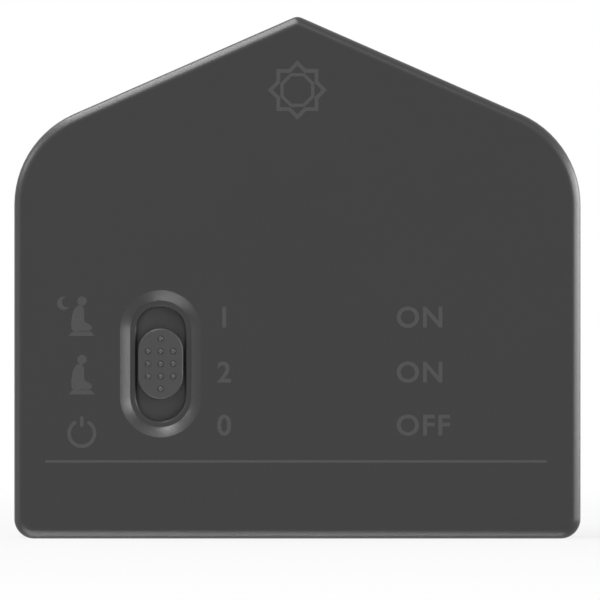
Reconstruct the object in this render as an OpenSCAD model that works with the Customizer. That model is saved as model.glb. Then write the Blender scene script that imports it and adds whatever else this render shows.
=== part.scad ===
// Prayer prostration counter: a flat house-shaped case with a dark display window on one face and,
// on the other, a three-position slider in an oval finger well.
// Every piece is drawn lying down: x across, y up towards the apex, and z from the display face (0)
// to the underside (body_t). upright() stands the drawing on its straight edge, underside towards -Y.

/* [Body] */
// Width across the two side walls
body_w = 80; // [74:0.5:100]
// Height from the straight edge to the rounded apex
body_h = 73.7; // [68:0.1:95]
// Thickness from the display face to the underside
body_t = 17; // [16:0.1:22]
// Slope of the two roof edges, in degrees
roof_angle = 23.7; // [18:0.1:28]
// Outline radius where the roof meets a side wall
shoulder_r = 14; // [8:0.1:16]
// Outline radius at the two lower corners
corner_r = 2.8; // [2.2:0.1:5]
// Radius of the rounding along both face edges
edge_r = 1.45; // [0.8:0.05:1.8]
// Radius left at the apex of the flat face, inside the rounded edge
apex_face_r = 0.15; // [0.05:0.05:1]

/* [Covers] */
// Wall thickness of the top cover
wall_t = 1.8; // [1.5:0.1:2.4]
// Thickness of the base cover's plate, which carries the slider
base_t = 2; // [1.8:0.1:2.6]
// Depth of the base cover from the underside to the seam
base_depth = 3.6; // [3:0.1:4.2]
// Smallest radius in the covers' inside corners
inner_r = 0.5; // [0.2:0.1:1]
// Width of the shadow groove along the seam
seam_gap = 0.3; // [0.15:0.05:0.6]
// Depth of the shadow groove
seam_d = 0.6; // [0.3:0.1:1]
// Height of the locating lip that enters the top cover
lip_h = 1.6; // [1.2:0.1:2]
// Thickness of the lip
lip_t = 0.8; // [0.6:0.1:1.2]
// Clearance between the lip and the top cover's wall
lip_clear = 0.1; // [0.05:0.05:0.2]
// Length of a snap bead on the lip
bead_l = 7; // [4:0.5:10]
// How far a snap bead stands out of the lip
bead_p = 0.4; // [0.2:0.05:0.6]
// Half the height of a snap bead
bead_h = 0.45; // [0.3:0.05:0.6]
// Clearance round a snap bead in its pocket
bead_clear = 0.1; // [0.05:0.05:0.2]

/* [Slider] */
// Distance of the slider from the middle, towards the left wall
switch_x = 19.3; // [16:0.1:24]
// Height of the slider's middle stop above the straight edge
switch_y = 24.7; // [20:0.1:30]
// Slide from the middle stop to each end stop
travel = 2.9; // [2:0.1:3.4]
// Width of the thumb pad
knob_w = 6.45; // [5:0.05:8]
// Length of the thumb pad
knob_l = 10.05; // [8:0.05:12]
// Rounding of the thumb pad's top edge
knob_edge = 0.3; // [0.1:0.05:0.5]
// Depth of the thumb pad below the underside
knob_sink = 0.4; // [0.2:0.05:0.8]
// Gap between the thumb pad and each side of its slot
slot_side = 0.17; // [0.1:0.01:0.3]
// Gap between the thumb pad and the end of its slot at full slide
slot_end = 0.12; // [0.05:0.01:0.4]
// Chamfer on the slot's rim
slot_rim = 0.25; // [0.1:0.05:0.4]
// Width of the flat ledge round the slot
ledge_w = 0.9; // [0.6:0.05:1.5]
// Height of the step from the ledge up to the finger bevel
ledge_step = 0.3; // [0.1:0.05:0.4]
// Width of the finger bevel
bevel_w = 1.45; // [1:0.05:2]
// Depth of the finger bevel
bevel_d = 0.7; // [0.4:0.05:0.8]
// Spacing of the grip bumps along and across the thumb pad
bump_pitch = 1.77; // [1.4:0.01:1.9]
// Diameter of a grip bump where it leaves the thumb pad
bump_d = 0.7; // [0.4:0.05:1]
// Height of a grip bump
bump_h = 0.15; // [0.1:0.01:0.2]
// Thickness of the slider's hidden flange
flange_t = 0.8; // [0.6:0.05:0.9]
// Gap between the flange and the base cover's plate
flange_gap = 0.15; // [0.1:0.01:0.25]
// Overlap of the flange beyond each side of the slot
flange_side = 1; // [0.6:0.1:1.5]
// Overlap of the flange beyond the end of the slot at full slide
flange_end = 0.5; // [0.3:0.1:1]
// Gap between the flange and its guide rails
rail_gap = 0.2; // [0.1:0.05:0.3]
// Thickness of a guide rail
rail_t = 1; // [0.8:0.1:1.5]
// Depth of a guide rail below the base cover's plate
rail_h = 1.3; // [1:0.1:1.4]

/* [Slide switch] */
// Height of the switch's metal frame above the board
frame_h = 3.6; // [3.3:0.1:3.8]
// Width of the metal frame
frame_w = 5; // [4.6:0.1:5.6]
// Sheet thickness of the metal frame
frame_t = 0.35; // [0.25:0.05:0.4]
// Length of the sliding block
block_l = 6; // [5.4:0.1:7]
// Running gap round the sliding block and its stem
block_gap = 0.12; // [0.08:0.01:0.2]
// Width of the stem
stem_w = 2; // [1.6:0.1:2.4]
// Length of the stem along the slide
stem_l = 2.4; // [2:0.1:3]
// Gap round the stem in the slider's socket
stem_gap = 0.05; // [0.03:0.01:0.1]
// Thickness left above the stem's socket in the thumb pad
socket_roof = 1; // [0.8:0.05:1.1]
// Thickness of the insulating base
terminal_t = 0.8; // [0.6:0.05:0.9]
// Diameter of a terminal pin
pin_d = 0.8; // [0.6:0.05:1]
// Diameter of a terminal's contact head
pin_head_d = 1.5; // [1.2:0.05:1.8]
// Height of a terminal's contact head
pin_head_h = 0.1; // [0.05:0.01:0.15]
// Length of pins and legs beyond the board
pin_tail = 1; // [0.6:0.1:1.5]
// Height of the contact spring
contact_h = 0.6; // [0.5:0.05:0.7]
// Width of the contact spring
contact_w = 2.4; // [1.6:0.1:3]
// Sheet thickness of the contact spring
contact_t = 0.2; // [0.15:0.01:0.25]
// Length of a contact foot along the slide
foot_l = 0.6; // [0.4:0.05:0.8]
// Width of the frame's mounting legs
leg_w = 1.5; // [1.2:0.1:2]

/* [Display] */
// Distance of the window from the outline
lens_inset = 5.5; // [4:0.1:7]
// Smallest corner radius of the window
lens_corner_r = 1.5; // [0.8:0.1:3]
// Thickness of the window
lens_t = 1.5; // [1:0.1:2]
// Depth of the window below the display face
lens_sink = 0.1; // [0.05:0.01:0.2]
// Gap between the window and its pocket
lens_gap = 0.1; // [0.05:0.01:0.2]
// Thickness of the adhesive tape under the window
tape_t = 0.15; // [0.1:0.01:0.25]
// Width of the tape
tape_w = 2.5; // [1.5:0.1:3]
// Distance of the tape from the window's edge
tape_edge = 0.4; // [0.2:0.1:0.8]
// Thickness of the shelf that carries the window
shelf_t = 1.25; // [1:0.05:1.6]
// Height of the digits' middle above the straight edge
display_y = 36; // [34:0.1:40]
// Spacing of the two digits
digit_pitch = 13; // [12:0.1:15]
// Spacing of the segments in a digit
segment_pitch = 6; // [5:0.1:6.5]
// Gap between the tips of neighbouring segments
segment_cut = 0.9; // [0.6:0.05:1.2]
// Width of a segment
segment_w = 1.5; // [1:0.05:1.8]
// Wall of the light-guide frame outside the digits
reflector_wall = 2; // [1.5:0.1:3]
// Thickness of the diffuser film
film_t = 0.2; // [0.1:0.01:0.3]
// Gap between the diffuser film and the window
film_gap = 0.2; // [0.1:0.01:0.4]
// Gap round the light-guide frame in the shelf
shelf_gap = 0.25; // [0.1:0.05:0.5]
// Length of a display lamp
led_l = 1.6; // [1:0.1:2]
// Width of a display lamp
led_w = 0.8; // [0.5:0.05:0.9]
// Height of a display lamp
led_h = 0.6; // [0.4:0.05:1]

/* [Sensor] */
// Height of the infrared pair above the straight edge
sensor_y = 10; // [9.6:0.1:11]
// Spacing of the infrared pair
sensor_pitch = 9; // [7:0.1:12]
// Body diameter of an infrared part
ir_d = 3; // [2.6:0.1:3.4]
// Length of an infrared part above the board
ir_l = 5.3; // [4:0.1:5.3]
// Nose rounding of an infrared part
ir_nose = 1.2; // [0.8:0.05:1.25]
// Diameter of an infrared part's rim
ir_rim_d = 3.8; // [3.5:0.1:4.2]
// Height of an infrared part's rim
ir_rim_h = 1; // [0.6:0.1:1.4]
// Diameter of an infrared part's leads
ir_lead_d = 0.5; // [0.4:0.05:0.6]
// Spacing of an infrared part's leads
ir_lead_pitch = 2.5; // [2:0.1:2.6]
// Wall of the rubber shroud round the infrared pair
shroud_wall = 1.4; // [1:0.1:1.6]
// Gap between an infrared part and the shroud
shroud_gap = 0.1; // [0.05:0.05:0.2]

/* [Board] */
// Thickness of the circuit board
board_t = 1.2; // [1:0.1:1.6]
// Room between the board and the base cover's plate
board_room = 5.6; // [5.4:0.1:6]
// Gap between the board and the walls
board_gap = 1.5; // [1:0.1:2]
// Height of the board's upper edge above the straight edge
board_top = 50; // [49.5:0.1:54]
// Clearance round pins, legs and leads in the board
hole_clear = 0.15; // [0.1:0.01:0.25]
// Diameter of a screw boss
boss_d = 4.5; // [4:0.1:5.5]
// Distance of the screw bosses from the board's side edges
boss_edge = 5.5; // [4:0.1:6]
// Height of the lower screws above the straight edge
boss_low = 8; // [7:0.1:9]
// Height of the upper screws above the straight edge
boss_high = 45; // [43:0.1:46]
// Shank diameter of a board screw
screw_d = 1.9; // [1.6:0.1:2.2]
// Length of a screw's shank in its boss
screw_bite = 4; // [3:0.1:4.2]
// Head diameter of a board screw
screw_head_d = 3.8; // [3.4:0.1:4.4]
// Head height of a board screw
screw_head_h = 1.3; // [1:0.1:1.6]
// Rounding of a screw head
screw_dome = 0.8; // [0.4:0.1:0.9]
// Gap between a screw's shank and its boss
screw_gap = 0.05; // [0.03:0.01:0.1]
// Width of a screw's cross slot
cross_w = 0.5; // [0.4:0.05:0.7]
// Span of a screw's cross slot
cross_l = 2; // [1.6:0.1:2.4]
// Depth of a screw's cross slot
cross_d = 0.7; // [0.5:0.05:0.9]

/* [Chips] */
// Distance of the controller from the middle, towards the left wall
chip_x = 3; // [0:0.1:6]
// Height of the controller's middle above the straight edge
chip_y = 45; // [44.5:0.1:45.5]
// Length of the controller
chip_l = 10; // [9.6:0.1:10.4]
// Width of the controller's body
chip_w = 3.9; // [3.6:0.1:4.2]
// Distance of the charger chip from the right wall's inner face
charger_edge = 6; // [5:0.1:7]
// Height of the charger chip above the straight edge
charger_y = 28; // [26:0.1:29]
// Length of the charger chip
charger_l = 2.9; // [2.6:0.1:3.2]
// Width of the charger chip's body
charger_w = 1.6; // [1.4:0.1:1.8]
// Thickness of the chips' bodies
chip_t = 1.4; // [1:0.1:1.8]
// Spacing of the controller's legs
chip_pitch = 1.27; // [1:0.01:1.3]
// Spacing of the charger chip's legs
charger_pitch = 0.95; // [0.8:0.01:1]
// Width of a chip's leg
chip_leg_w = 0.4; // [0.3:0.05:0.5]
// Sheet thickness of a chip's leg
chip_leg_t = 0.2; // [0.15:0.01:0.25]
// Reach of a chip's leg beyond its body
chip_leg_l = 1.05; // [0.8:0.05:1.2]
// Legs along each side of the controller
chip_legs = 8; // [6:1:8]
// Legs along each side of the charger chip
charger_legs = 3; // [2:1:3]
// Length of a surface-mount resistor or capacitor
chip_part_l = 1.6; // [1:0.1:2]
// Width of a surface-mount resistor or capacitor
chip_part_w = 0.8; // [0.5:0.05:1]
// Height of a resistor
resistor_h = 0.45; // [0.3:0.05:0.6]
// Height of a capacitor
capacitor_h = 0.8; // [0.5:0.05:1.2]
// Spacing of the surface-mount parts
chip_part_pitch = 2; // [1.6:0.1:2.2]

/* [Charging socket] */
// Height of the socket's middle above the straight edge
usb_y = 18; // [17:0.1:20]
// Outer width of the socket's shell
usb_w = 8.94; // [8.6:0.02:9.3]
// Outer height of the socket's shell
usb_h = 3.26; // [3.1:0.02:3.3]
// Length of the socket's shell
usb_l = 7.35; // [6.8:0.05:8]
// Sheet thickness of the socket's shell
usb_wall = 0.3; // [0.2:0.02:0.35]
// Depth of the socket's mouth behind the side wall
usb_sink = 0.8; // [0.5:0.1:1.2]
// Gap round the shell in the side wall
usb_gap = 0.15; // [0.1:0.01:0.25]
// Gap between the shell and the base cover's lip
usb_notch = 0.8; // [0.5:0.1:1]
// Width of the contact tongue
tongue_w = 6.69; // [6.4:0.01:6.9]
// Thickness of the contact tongue
tongue_t = 0.7; // [0.6:0.05:0.8]
// Depth of the tongue's tip behind the mouth
tongue_sink = 0.8; // [0.5:0.1:1.2]
// Length of the tongue's moulded root
root_l = 1.8; // [1.4:0.1:2.2]
// Gap between the moulded root and the shell
root_gap = 0.04; // [0.02:0.01:0.08]

/* [Battery] */
// Length of the battery pouch
battery_l = 35; // [32:0.5:36]
// Width of the battery pouch
battery_w = 25; // [20:0.5:26]
// Thickness of the battery pouch
battery_t = 4; // [3.6:0.1:4.2]
// Height of the pouch's lower edge above the straight edge
battery_y = 14.5; // [14:0.1:15]
// Gap between the pouch and the charging socket
battery_gap = 1.5; // [1:0.1:3]
// Length of the pouch's folded seal at the lead end
seal_l = 2.4; // [1.6:0.1:3]
// Thickness of the folded seal
seal_t = 2.4; // [1.4:0.1:2.6]
// Thickness of the foam pad under the pouch
pad_t = 0.5; // [0.3:0.05:0.8]
// Margin of the foam pad inside the pouch's flat
pad_edge = 0.6; // [0.4:0.1:2]
// Diameter of the battery leads
lead_d = 1; // [0.8:0.05:1.2]
// Spacing of the battery leads at both ends
lead_pitch = 1.5; // [1.3:0.05:1.8]
// Height of the leads' exit above the pouch's lower edge
lead_exit = 16.7; // [16:0.1:18]
// Depth of a lead's end in the plug's wire hole
lead_in = 1.2; // [0.8:0.1:1.6]
// Gap at a lead's ends and round it in the plug's wire hole
lead_gap = 0.08; // [0.05:0.01:0.12]
// Distance of the battery connector from the middle, towards the right wall
plug_x = 16; // [14:0.1:18]
// Height of the plug's lead end above the straight edge
plug_y = 44.5; // [44.2:0.1:45]
// Width of the plug
plug_w = 4.6; // [4.2:0.1:5.2]
// Length of the plug
plug_l = 4; // [3.4:0.1:4.5]
// Height of the plug
plug_h = 2.4; // [2:0.1:2.6]
// Length of the plug left outside its socket
plug_out = 1; // [0.6:0.1:1.4]
// Wall of the plug's socket
plug_wall = 0.6; // [0.4:0.05:0.8]
// Gap round the plug in its socket
plug_gap = 0.08; // [0.05:0.01:0.12]

/* [Hidden] */
$fn = 64;
// Extra length that carries a cut clear of the faces it opens
over = 1;
// Flat steps in the rounding of a face edge
edge_steps = 6;
// Steps of a lead's curve between two of its middle points, and sides of its round section
route_steps = 3;
lead_sides = 8;

// Levels, measured from the display face
base_in = body_t - base_t;
seam_z = body_t - base_depth;
lens_back = lens_sink + lens_t;
shelf_z = lens_back + tape_t;
top_in = shelf_z + shelf_t;
board_high = base_in - board_room;
board_low = board_high - board_t;
film_z = lens_back + film_gap;
reflector_z = film_z + film_t;
flange_z = base_in - flange_gap - flange_t;
knob_z = body_t - knob_sink;
ledge_z = body_t - bevel_d - ledge_step;
stem_z = knob_z - socket_roof - stem_gap;
terminal_z = board_high + terminal_t;
contact_z = terminal_z + pin_head_h + stem_gap;
block_z = contact_z + contact_h;
frame_z = board_high + frame_h;
battery_z = board_high + pad_t;

// Plan sizes
lip_out = wall_t + lip_clear;
lip_in = lip_out + lip_t;
slot_w = knob_w + 2 * slot_side;
slot_l = knob_l + 2 * (travel + slot_end);
flange_w = slot_w + 2 * flange_side;
flange_l = slot_l + 2 * (travel + flange_end);
rail_l = flange_l + 2 * travel;
frame_in_w = frame_w - 2 * frame_t;
frame_in_l = block_l + 2 * (travel + block_gap);
frame_l = frame_in_l + 2 * frame_t;
board_side = body_w / 2 - wall_t - board_gap;
board_foot = wall_t + board_gap;
boss_x = board_side - boss_edge;
reflector_w = digit_pitch + segment_pitch + segment_w + 2 * reflector_wall;
reflector_l = 2 * segment_pitch + segment_w + 2 * reflector_wall;
shroud_w = sensor_pitch + ir_rim_d + 2 * shroud_wall;
shroud_l = ir_rim_d + 2 * shroud_wall;
usb_mouth = body_w / 2 - usb_sink;
usb_back = usb_mouth - usb_l;
usb_mid_z = board_high + usb_h / 2;
battery_right = usb_back - battery_gap;
battery_left = battery_right - battery_l;
battery_mid_y = battery_y + battery_w / 2;
battery_mid_z = battery_z + battery_t / 2;
plug_z = board_high + plug_wall;

// Outline: five corners clockwise from the apex, and the side that leaves each corner
apex_r = edge_r + apex_face_r;
apex_y = body_h + apex_r * (1 / cos(roof_angle) - 1);
outline_r = [apex_r, shoulder_r, corner_r, corner_r, shoulder_r];
corner_half = [90 - roof_angle, 45 + roof_angle / 2, 45, 45, 45 + roof_angle / 2];
corner_turn = [for (half = corner_half) 180 - 2 * half];
arc_steps = [4, 12, 6, 6, 12];
side_face = [90 - roof_angle, 0, -90, 180, 90 + roof_angle];
SIDES = [0:4];
ROOF_RIGHT = 0;
WALL_RIGHT = 1;
FOOT = 2;
WALL_LEFT = 3;
ROOF_LEFT = 4;

// Snap beads: the side that carries each one, and its distance clockwise from the side's middle
beads = [
    [ROOF_RIGHT, 0], [WALL_RIGHT, -12], [WALL_RIGHT, 17], [FOOT, -20],
    [FOOT, 20], [WALL_LEFT, -17], [WALL_LEFT, 12], [ROOF_LEFT, 0],
];

// Grip bumps: columns and rows of the lozenge on the thumb pad
bumps = [for (column = [-1:1], row = [-2:2]) if (abs(column) + abs(row) <= 2) [column, row]];

// Segments of a digit, in segment pitches from its middle, with their turn
segments = concat(
    [for (row = [-1:1]) [0, row, 0]],
    [for (side = [-1, 1], row = [-1, 1]) [side / 2, row / 2, 90]]
);

// Middle points of the two battery leads, chosen by hand: the first ones measured from the pouch's seal,
// the last ones from the plug. The red lead runs inside the black one.
seal_point = [battery_right, battery_y + lead_exit, battery_mid_z];
plug_point = [plug_x, plug_y, plug_z + plug_h / 2];
red_bends = [
    [[2.15, 2, 0], [2.05, 6.2, -0.1], [-0.55, 9.2, -0.3]],
    [[8, -3.6, 0.2], [2.6, -3.7, 0], [-0.1, -2.8, 0]],
];
black_bends = [
    [[2.85, -0.1, 0], [3.95, 3, 0], [3.55, 7.6, -0.1], [0.05, 10.8, -0.3]],
    [[8, -2.1, 0.2], [2.9, -2.1, 0]],
];

// Unit vector at an angle
function heading(angle) = [cos(angle), sin(angle)];

// Direction of a side, clockwise round the outline
function along(side) = heading(side_face[side] - 90);

// Sharp corners of the outline drawn in by an inset
function sharp_corners(inset) =
    let (
        side = body_w / 2 - inset,
        peak = apex_y - inset / cos(roof_angle),
        eave = peak - side * tan(roof_angle)
    )
    [[0, peak], [side, eave], [side, inset], [-side, inset], [-side, eave]];

// Points where the rounding of a corner starts and ends, and the rounding's centre
function arc_start(corner, inset, r) =
    sharp_corners(inset)[corner] - along((corner + 4) % 5) * r / tan(corner_half[corner]);
function arc_end(corner, inset, r) =
    sharp_corners(inset)[corner] + along(corner) * r / tan(corner_half[corner]);
function arc_centre(corner, inset, r) =
    arc_end(corner, inset, r) - heading(side_face[corner]) * r;

// The outline drawn in by an inset, each corner an arc with no radius smaller than a least one
function outline(inset, least) =
    [for (i = SIDES)
        let (r = max(outline_r[i] - inset, least), centre = arc_centre(i, inset, r))
        for (step = [arc_steps[i]:-1:0])
            centre + r * heading(side_face[i] + corner_turn[i] * step / arc_steps[i])];

// A point of a smooth curve through four route points, between the middle two
function curve_point(a, b, c, d, t) =
    (2 * b + (c - a) * t + (2 * a - 5 * b + 4 * c - d) * pow(t, 2)
        + (3 * b - a - 3 * c + d) * pow(t, 3)) / 2;

// A route's points made smooth by steps between each two of them
function smooth_route(route, steps) =
    let (last = len(route) - 1)
    concat(
        [for (i = [0:last - 1], k = [0:steps - 1])
            curve_point(route[max(i - 1, 0)], route[i], route[i + 1], route[min(i + 2, last)], k / steps)],
        [route[last]]
    );

module upright() {
    translate([0, body_t / 2, 0]) rotate([90, 0, 0]) children();
}

// The outline drawn in by an inset, as a flat shape
module house(inset, least = inner_r) {
    polygon(outline(inset, least));
}

// The outline as a slab, with a rounded edge all round its upper face
module rounded_slab(h) {
    hull() {
        linear_extrude(h - edge_r) house(0);
        for (step = [1:edge_steps]) {
            rise = 90 * step / edge_steps;
            linear_extrude(h - edge_r * (1 - sin(rise))) house(edge_r * (1 - cos(rise)), apex_face_r);
        }
    }
}

// Half section of a form whose outer top edge is rounded
module edge_profile(r, h, rounding) {
    square([r, h - rounding]);
    square([r - rounding, h]);
    translate([r - rounding, h - rounding]) intersection() {
        circle(rounding);
        square(rounding);
    }
}

// A round-ended form: the half section passed as a child, swept round a straight run along y
module oval(run) {
    for (turn = [0, 180]) {
        rotate(turn) translate([0, run / 2, 0]) rotate_extrude(angle = 180) children();
    }
    translate([0, run / 2, 0]) rotate([90, 0, 0]) linear_extrude(run) {
        children();
        mirror([1, 0]) children();
    }
}

module stadium(length, width) {
    run = length - width;
    square([run, width], center = true);
    for (side = [0, 180]) {
        rotate(side) translate([run / 2, 0]) intersection() {
            circle(d = width);
            translate([0, -width / 2]) square(width);
        }
    }
}

// A box centred across and along, standing on a level
module block(size, level) {
    translate([-size.x / 2, -size.y / 2, level]) cube(size);
}

module at_switch() {
    translate([-switch_x, switch_y, 0]) children();
}

module at_display() {
    translate([0, display_y, 0]) children();
}

module at_segments() {
    for (digit = [-1, 1], segment = segments) {
        translate([digit * digit_pitch / 2 + segment[0] * segment_pitch, segment[1] * segment_pitch, 0])
            rotate(segment[2]) children();
    }
}

module at_sensor(side) {
    translate([side * sensor_pitch / 2, sensor_y, 0]) children();
}

module at_ir_leads() {
    for (side = [-1, 1]) {
        translate([0, side * ir_lead_pitch / 2, 0]) children();
    }
}

module at_screws() {
    for (x = [-boss_x, boss_x], y = [boss_low, boss_high]) {
        translate([x, y, 0]) children();
    }
}

module at_pins() {
    for (step = [-1.5:1.5]) {
        translate([0, step * travel, 0]) children();
    }
}

module at_legs() {
    for (side = [-1, 1]) {
        translate([0, side * (frame_l - frame_t) / 2, 0]) children();
    }
}

// Places a form along the charging socket's axis, its drawing plane at x
module at_usb(x) {
    translate([x, usb_y, usb_mid_z]) rotate([90, 0, 90]) children();
}

// Places the snap bead's form on the lip's outer face
module at_beads() {
    for (bead = beads) {
        side = bead[0];
        next = (side + 1) % 5;
        middle = (arc_end(side, 0, outline_r[side]) + arc_start(next, 0, outline_r[next])) / 2;
        translate(middle + along(side) * bead[1] - heading(side_face[side]) * lip_out)
            rotate(side_face[side]) translate([0, 0, seam_z - lip_h / 2]) children();
    }
}

module snap_bead(grow) {
    rotate([90, 0, 0]) linear_extrude(bead_l + 2 * grow, center = true) polygon([
        [-lip_t / 2, -bead_h - grow], [0, -bead_h - grow], [bead_p + grow, 0],
        [0, bead_h + grow], [-lip_t / 2, bead_h + grow],
    ]);
}

module slot_cut() {
    half = slot_w / 2;
    ledge = half + ledge_w;
    bevel = ledge + bevel_w;
    at_switch() oval(slot_l - slot_w) polygon([
        [0, base_in - over], [half, base_in - over], [half, ledge_z - slot_rim],
        [half + slot_rim, ledge_z], [ledge, ledge_z], [ledge, ledge_z + ledge_step],
        [bevel, body_t], [bevel, body_t + over], [0, body_t + over],
    ]);
}

module base_cover() {
    rail_x = flange_w / 2 + rail_gap;
    color("#3d3d3f") upright() difference() {
        union() {
            difference() {
                union() {
                    translate([0, 0, seam_z + seam_gap]) rounded_slab(base_depth - seam_gap);
                    translate([0, 0, seam_z]) linear_extrude(base_in - seam_z) house(seam_d);
                    translate([0, 0, seam_z - lip_h]) linear_extrude(base_in - seam_z + lip_h) house(lip_out);
                    at_beads() snap_bead(0);
                }
                translate([0, 0, seam_z - lip_h - over])
                    linear_extrude(base_in - seam_z + lip_h + over) house(lip_in);
            }
            for (side = [-1, 1]) {
                at_switch() translate([side * (rail_x + rail_t / 2), 0, 0])
                    block([rail_t, rail_l, rail_h + base_t / 2], base_in - rail_h);
            }
        }
        slot_cut();
        translate([body_w / 2 - lip_in - over, usb_y - usb_w / 2 - usb_notch, seam_z - lip_h - over])
            cube([lip_t + over + lip_clear, usb_w + 2 * usb_notch, lip_h + over]);
    }
}

module top_cover() {
    color("#353537") upright() difference() {
        union() {
            difference() {
                translate([0, 0, seam_z]) mirror([0, 0, 1]) rounded_slab(seam_z);
                translate([0, 0, top_in]) linear_extrude(seam_z) house(wall_t);
            }
            at_screws() translate([0, 0, shelf_z + shelf_t / 2])
                cylinder(d = boss_d, h = board_low - shelf_z - shelf_t / 2);
        }
        translate([0, 0, -over]) linear_extrude(shelf_z + over) house(lens_inset, lens_corner_r);
        at_display() block([reflector_w + 2 * shelf_gap, reflector_l + 2 * shelf_gap, top_in + over], 0);
        for (side = [-1, 1]) {
            at_sensor(side) cylinder(d = ir_d + 2 * shroud_gap, h = top_in + over);
        }
        at_screws() translate([0, 0, top_in])
            cylinder(d = screw_d + 2 * screw_gap, h = board_low - top_in + over);
        at_usb(body_w / 2 - wall_t - over) linear_extrude(wall_t + 2 * over)
            stadium(usb_w + 2 * usb_gap, usb_h + 2 * usb_gap);
        at_beads() snap_bead(bead_clear);
    }
}

module display_lens() {
    color("#1b1b1d") upright() translate([0, 0, lens_sink]) linear_extrude(lens_t)
        house(lens_inset + lens_gap, lens_corner_r);
}

module lens_tape() {
    outer = lens_inset + lens_gap + tape_edge;
    color("#0f0f10") upright() translate([0, 0, lens_back]) linear_extrude(tape_t) difference() {
        house(outer, lens_corner_r);
        house(outer + tape_w, lens_corner_r);
    }
}

module display_film() {
    color("#2a2422") upright() at_display() block([reflector_w, reflector_l, film_t], film_z);
}

module display_frame() {
    half_l = (segment_pitch - segment_cut) / 2;
    half_w = segment_w / 2;
    tip = half_l - half_w;
    color("#e9e7e1") upright() at_display() difference() {
        block([reflector_w, reflector_l, board_low - reflector_z], reflector_z);
        at_segments() translate([0, 0, reflector_z - over]) linear_extrude(board_low - reflector_z + 2 * over)
            polygon([
                [-half_l, 0], [-tip, half_w], [tip, half_w], [half_l, 0], [tip, -half_w], [-tip, -half_w],
            ]);
    }
}

module display_lamps() {
    color("#e4c9b0") upright() at_display() at_segments()
        block([led_l, led_w, led_h], board_low - led_h);
}

module sensor_shroud() {
    depth = board_low - top_in;
    color("#161617") upright() difference() {
        translate([0, sensor_y, 0]) block([shroud_w, shroud_l, depth], top_in);
        for (side = [-1, 1]) {
            at_sensor(side) translate([0, 0, top_in - over])
                cylinder(d = ir_d + 2 * shroud_gap, h = depth + 2 * over);
            at_sensor(side) translate([0, 0, board_low - ir_rim_h - shroud_gap])
                cylinder(d = ir_rim_d + 2 * shroud_gap, h = ir_rim_h + shroud_gap + over);
        }
    }
}

module infrared_part(side) {
    upright() at_sensor(side) {
        translate([0, 0, board_low]) mirror([0, 0, 1]) rotate_extrude() {
            edge_profile(ir_d / 2, ir_l, ir_nose);
            square([ir_rim_d / 2, ir_rim_h]);
        }
        at_ir_leads() translate([0, 0, board_low - ir_rim_h / 2])
            cylinder(d = ir_lead_d, h = ir_rim_h / 2 + board_t + pin_tail);
    }
}

module infrared_emitter() {
    color("#c9cbd6") infrared_part(-1);
}

module infrared_receiver() {
    color("#17171a") infrared_part(1);
}

module main_board() {
    leg_hole = [leg_w + 2 * hole_clear, frame_t + 2 * hole_clear, board_t + 2 * over];
    color("#1f5a3c") upright() difference() {
        translate([0, 0, board_low]) linear_extrude(board_t) intersection() {
            house(board_foot);
            translate([-body_w / 2, 0]) square([body_w, board_top]);
        }
        translate([0, 0, board_low - over]) {
            at_screws() cylinder(d = screw_d + 2 * hole_clear, h = board_t + 2 * over);
            at_switch() at_pins() cylinder(d = pin_d + 2 * hole_clear, h = board_t + 2 * over);
            at_switch() at_legs() block(leg_hole, 0);
            for (side = [-1, 1]) {
                at_sensor(side) at_ir_leads()
                    cylinder(d = ir_lead_d + 2 * hole_clear, h = board_t + 2 * over);
            }
        }
    }
}

module board_screws() {
    color("#b9bcc0") upright() at_screws() difference() {
        union() {
            translate([0, 0, board_high]) rotate_extrude()
                edge_profile(screw_head_d / 2, screw_head_h, screw_dome);
            translate([0, 0, board_low - screw_bite])
                cylinder(d = screw_d, h = screw_bite + board_t + screw_head_h / 2);
        }
        for (turn = [0, 90]) {
            rotate(turn) block([cross_l, cross_w, cross_d + over], board_high + screw_head_h - cross_d);
        }
    }
}

// A moulded chip with bent legs along both long sides, standing on the board
module legged_chip(length, width, pitch, legs) {
    stand = chip_leg_t;
    middle = chip_t / 2 + stand;
    knee = (width + chip_leg_l) / 2;
    toe = width / 2 + chip_leg_l;
    translate([0, 0, board_high]) {
        block([length, width, chip_t], stand);
        for (i = [0:legs - 1], side = [-1, 1]) {
            translate([(i - (legs - 1) / 2) * pitch, 0, 0]) rotate(side * 90) rotate([90, 0, 0])
                linear_extrude(chip_leg_w, center = true) polygon([
                    [0, middle], [knee, middle], [knee, chip_leg_t], [toe, chip_leg_t], [toe, 0],
                    [knee - chip_leg_t, 0], [knee - chip_leg_t, middle - chip_leg_t],
                    [0, middle - chip_leg_t],
                ]);
        }
    }
}

module controller_chip() {
    color("#232325") upright() translate([-chip_x, chip_y, 0])
        legged_chip(chip_l, chip_w, chip_pitch, chip_legs);
}

module charger_chip() {
    color("#29292b") upright() translate([body_w / 2 - wall_t - charger_edge, charger_y, 0])
        legged_chip(charger_l, charger_w, charger_pitch, charger_legs);
}

// A column of surface-mount parts beside the controller, counted from its middle
module chip_parts(column, height) {
    upright() translate([-chip_x + column * (chip_l / 2 + chip_part_pitch), chip_y, 0]) {
        for (row = [-1:1]) {
            translate([0, row * chip_part_pitch, 0]) block([chip_part_l, chip_part_w, height], board_high);
        }
    }
}

module chip_resistors() {
    color("#2b2b2e") chip_parts(-1, resistor_h);
}

module chip_capacitors() {
    color("#a58a66") chip_parts(1, capacitor_h);
}

module charging_socket() {
    inner_w = usb_w - 2 * usb_wall;
    inner_h = usb_h - 2 * usb_wall;
    color("#c4c7ca") upright() difference() {
        at_usb(usb_back) linear_extrude(usb_l) stadium(usb_w, usb_h);
        at_usb(usb_back - over) linear_extrude(usb_l + 2 * over) stadium(inner_w, inner_h);
    }
}

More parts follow.
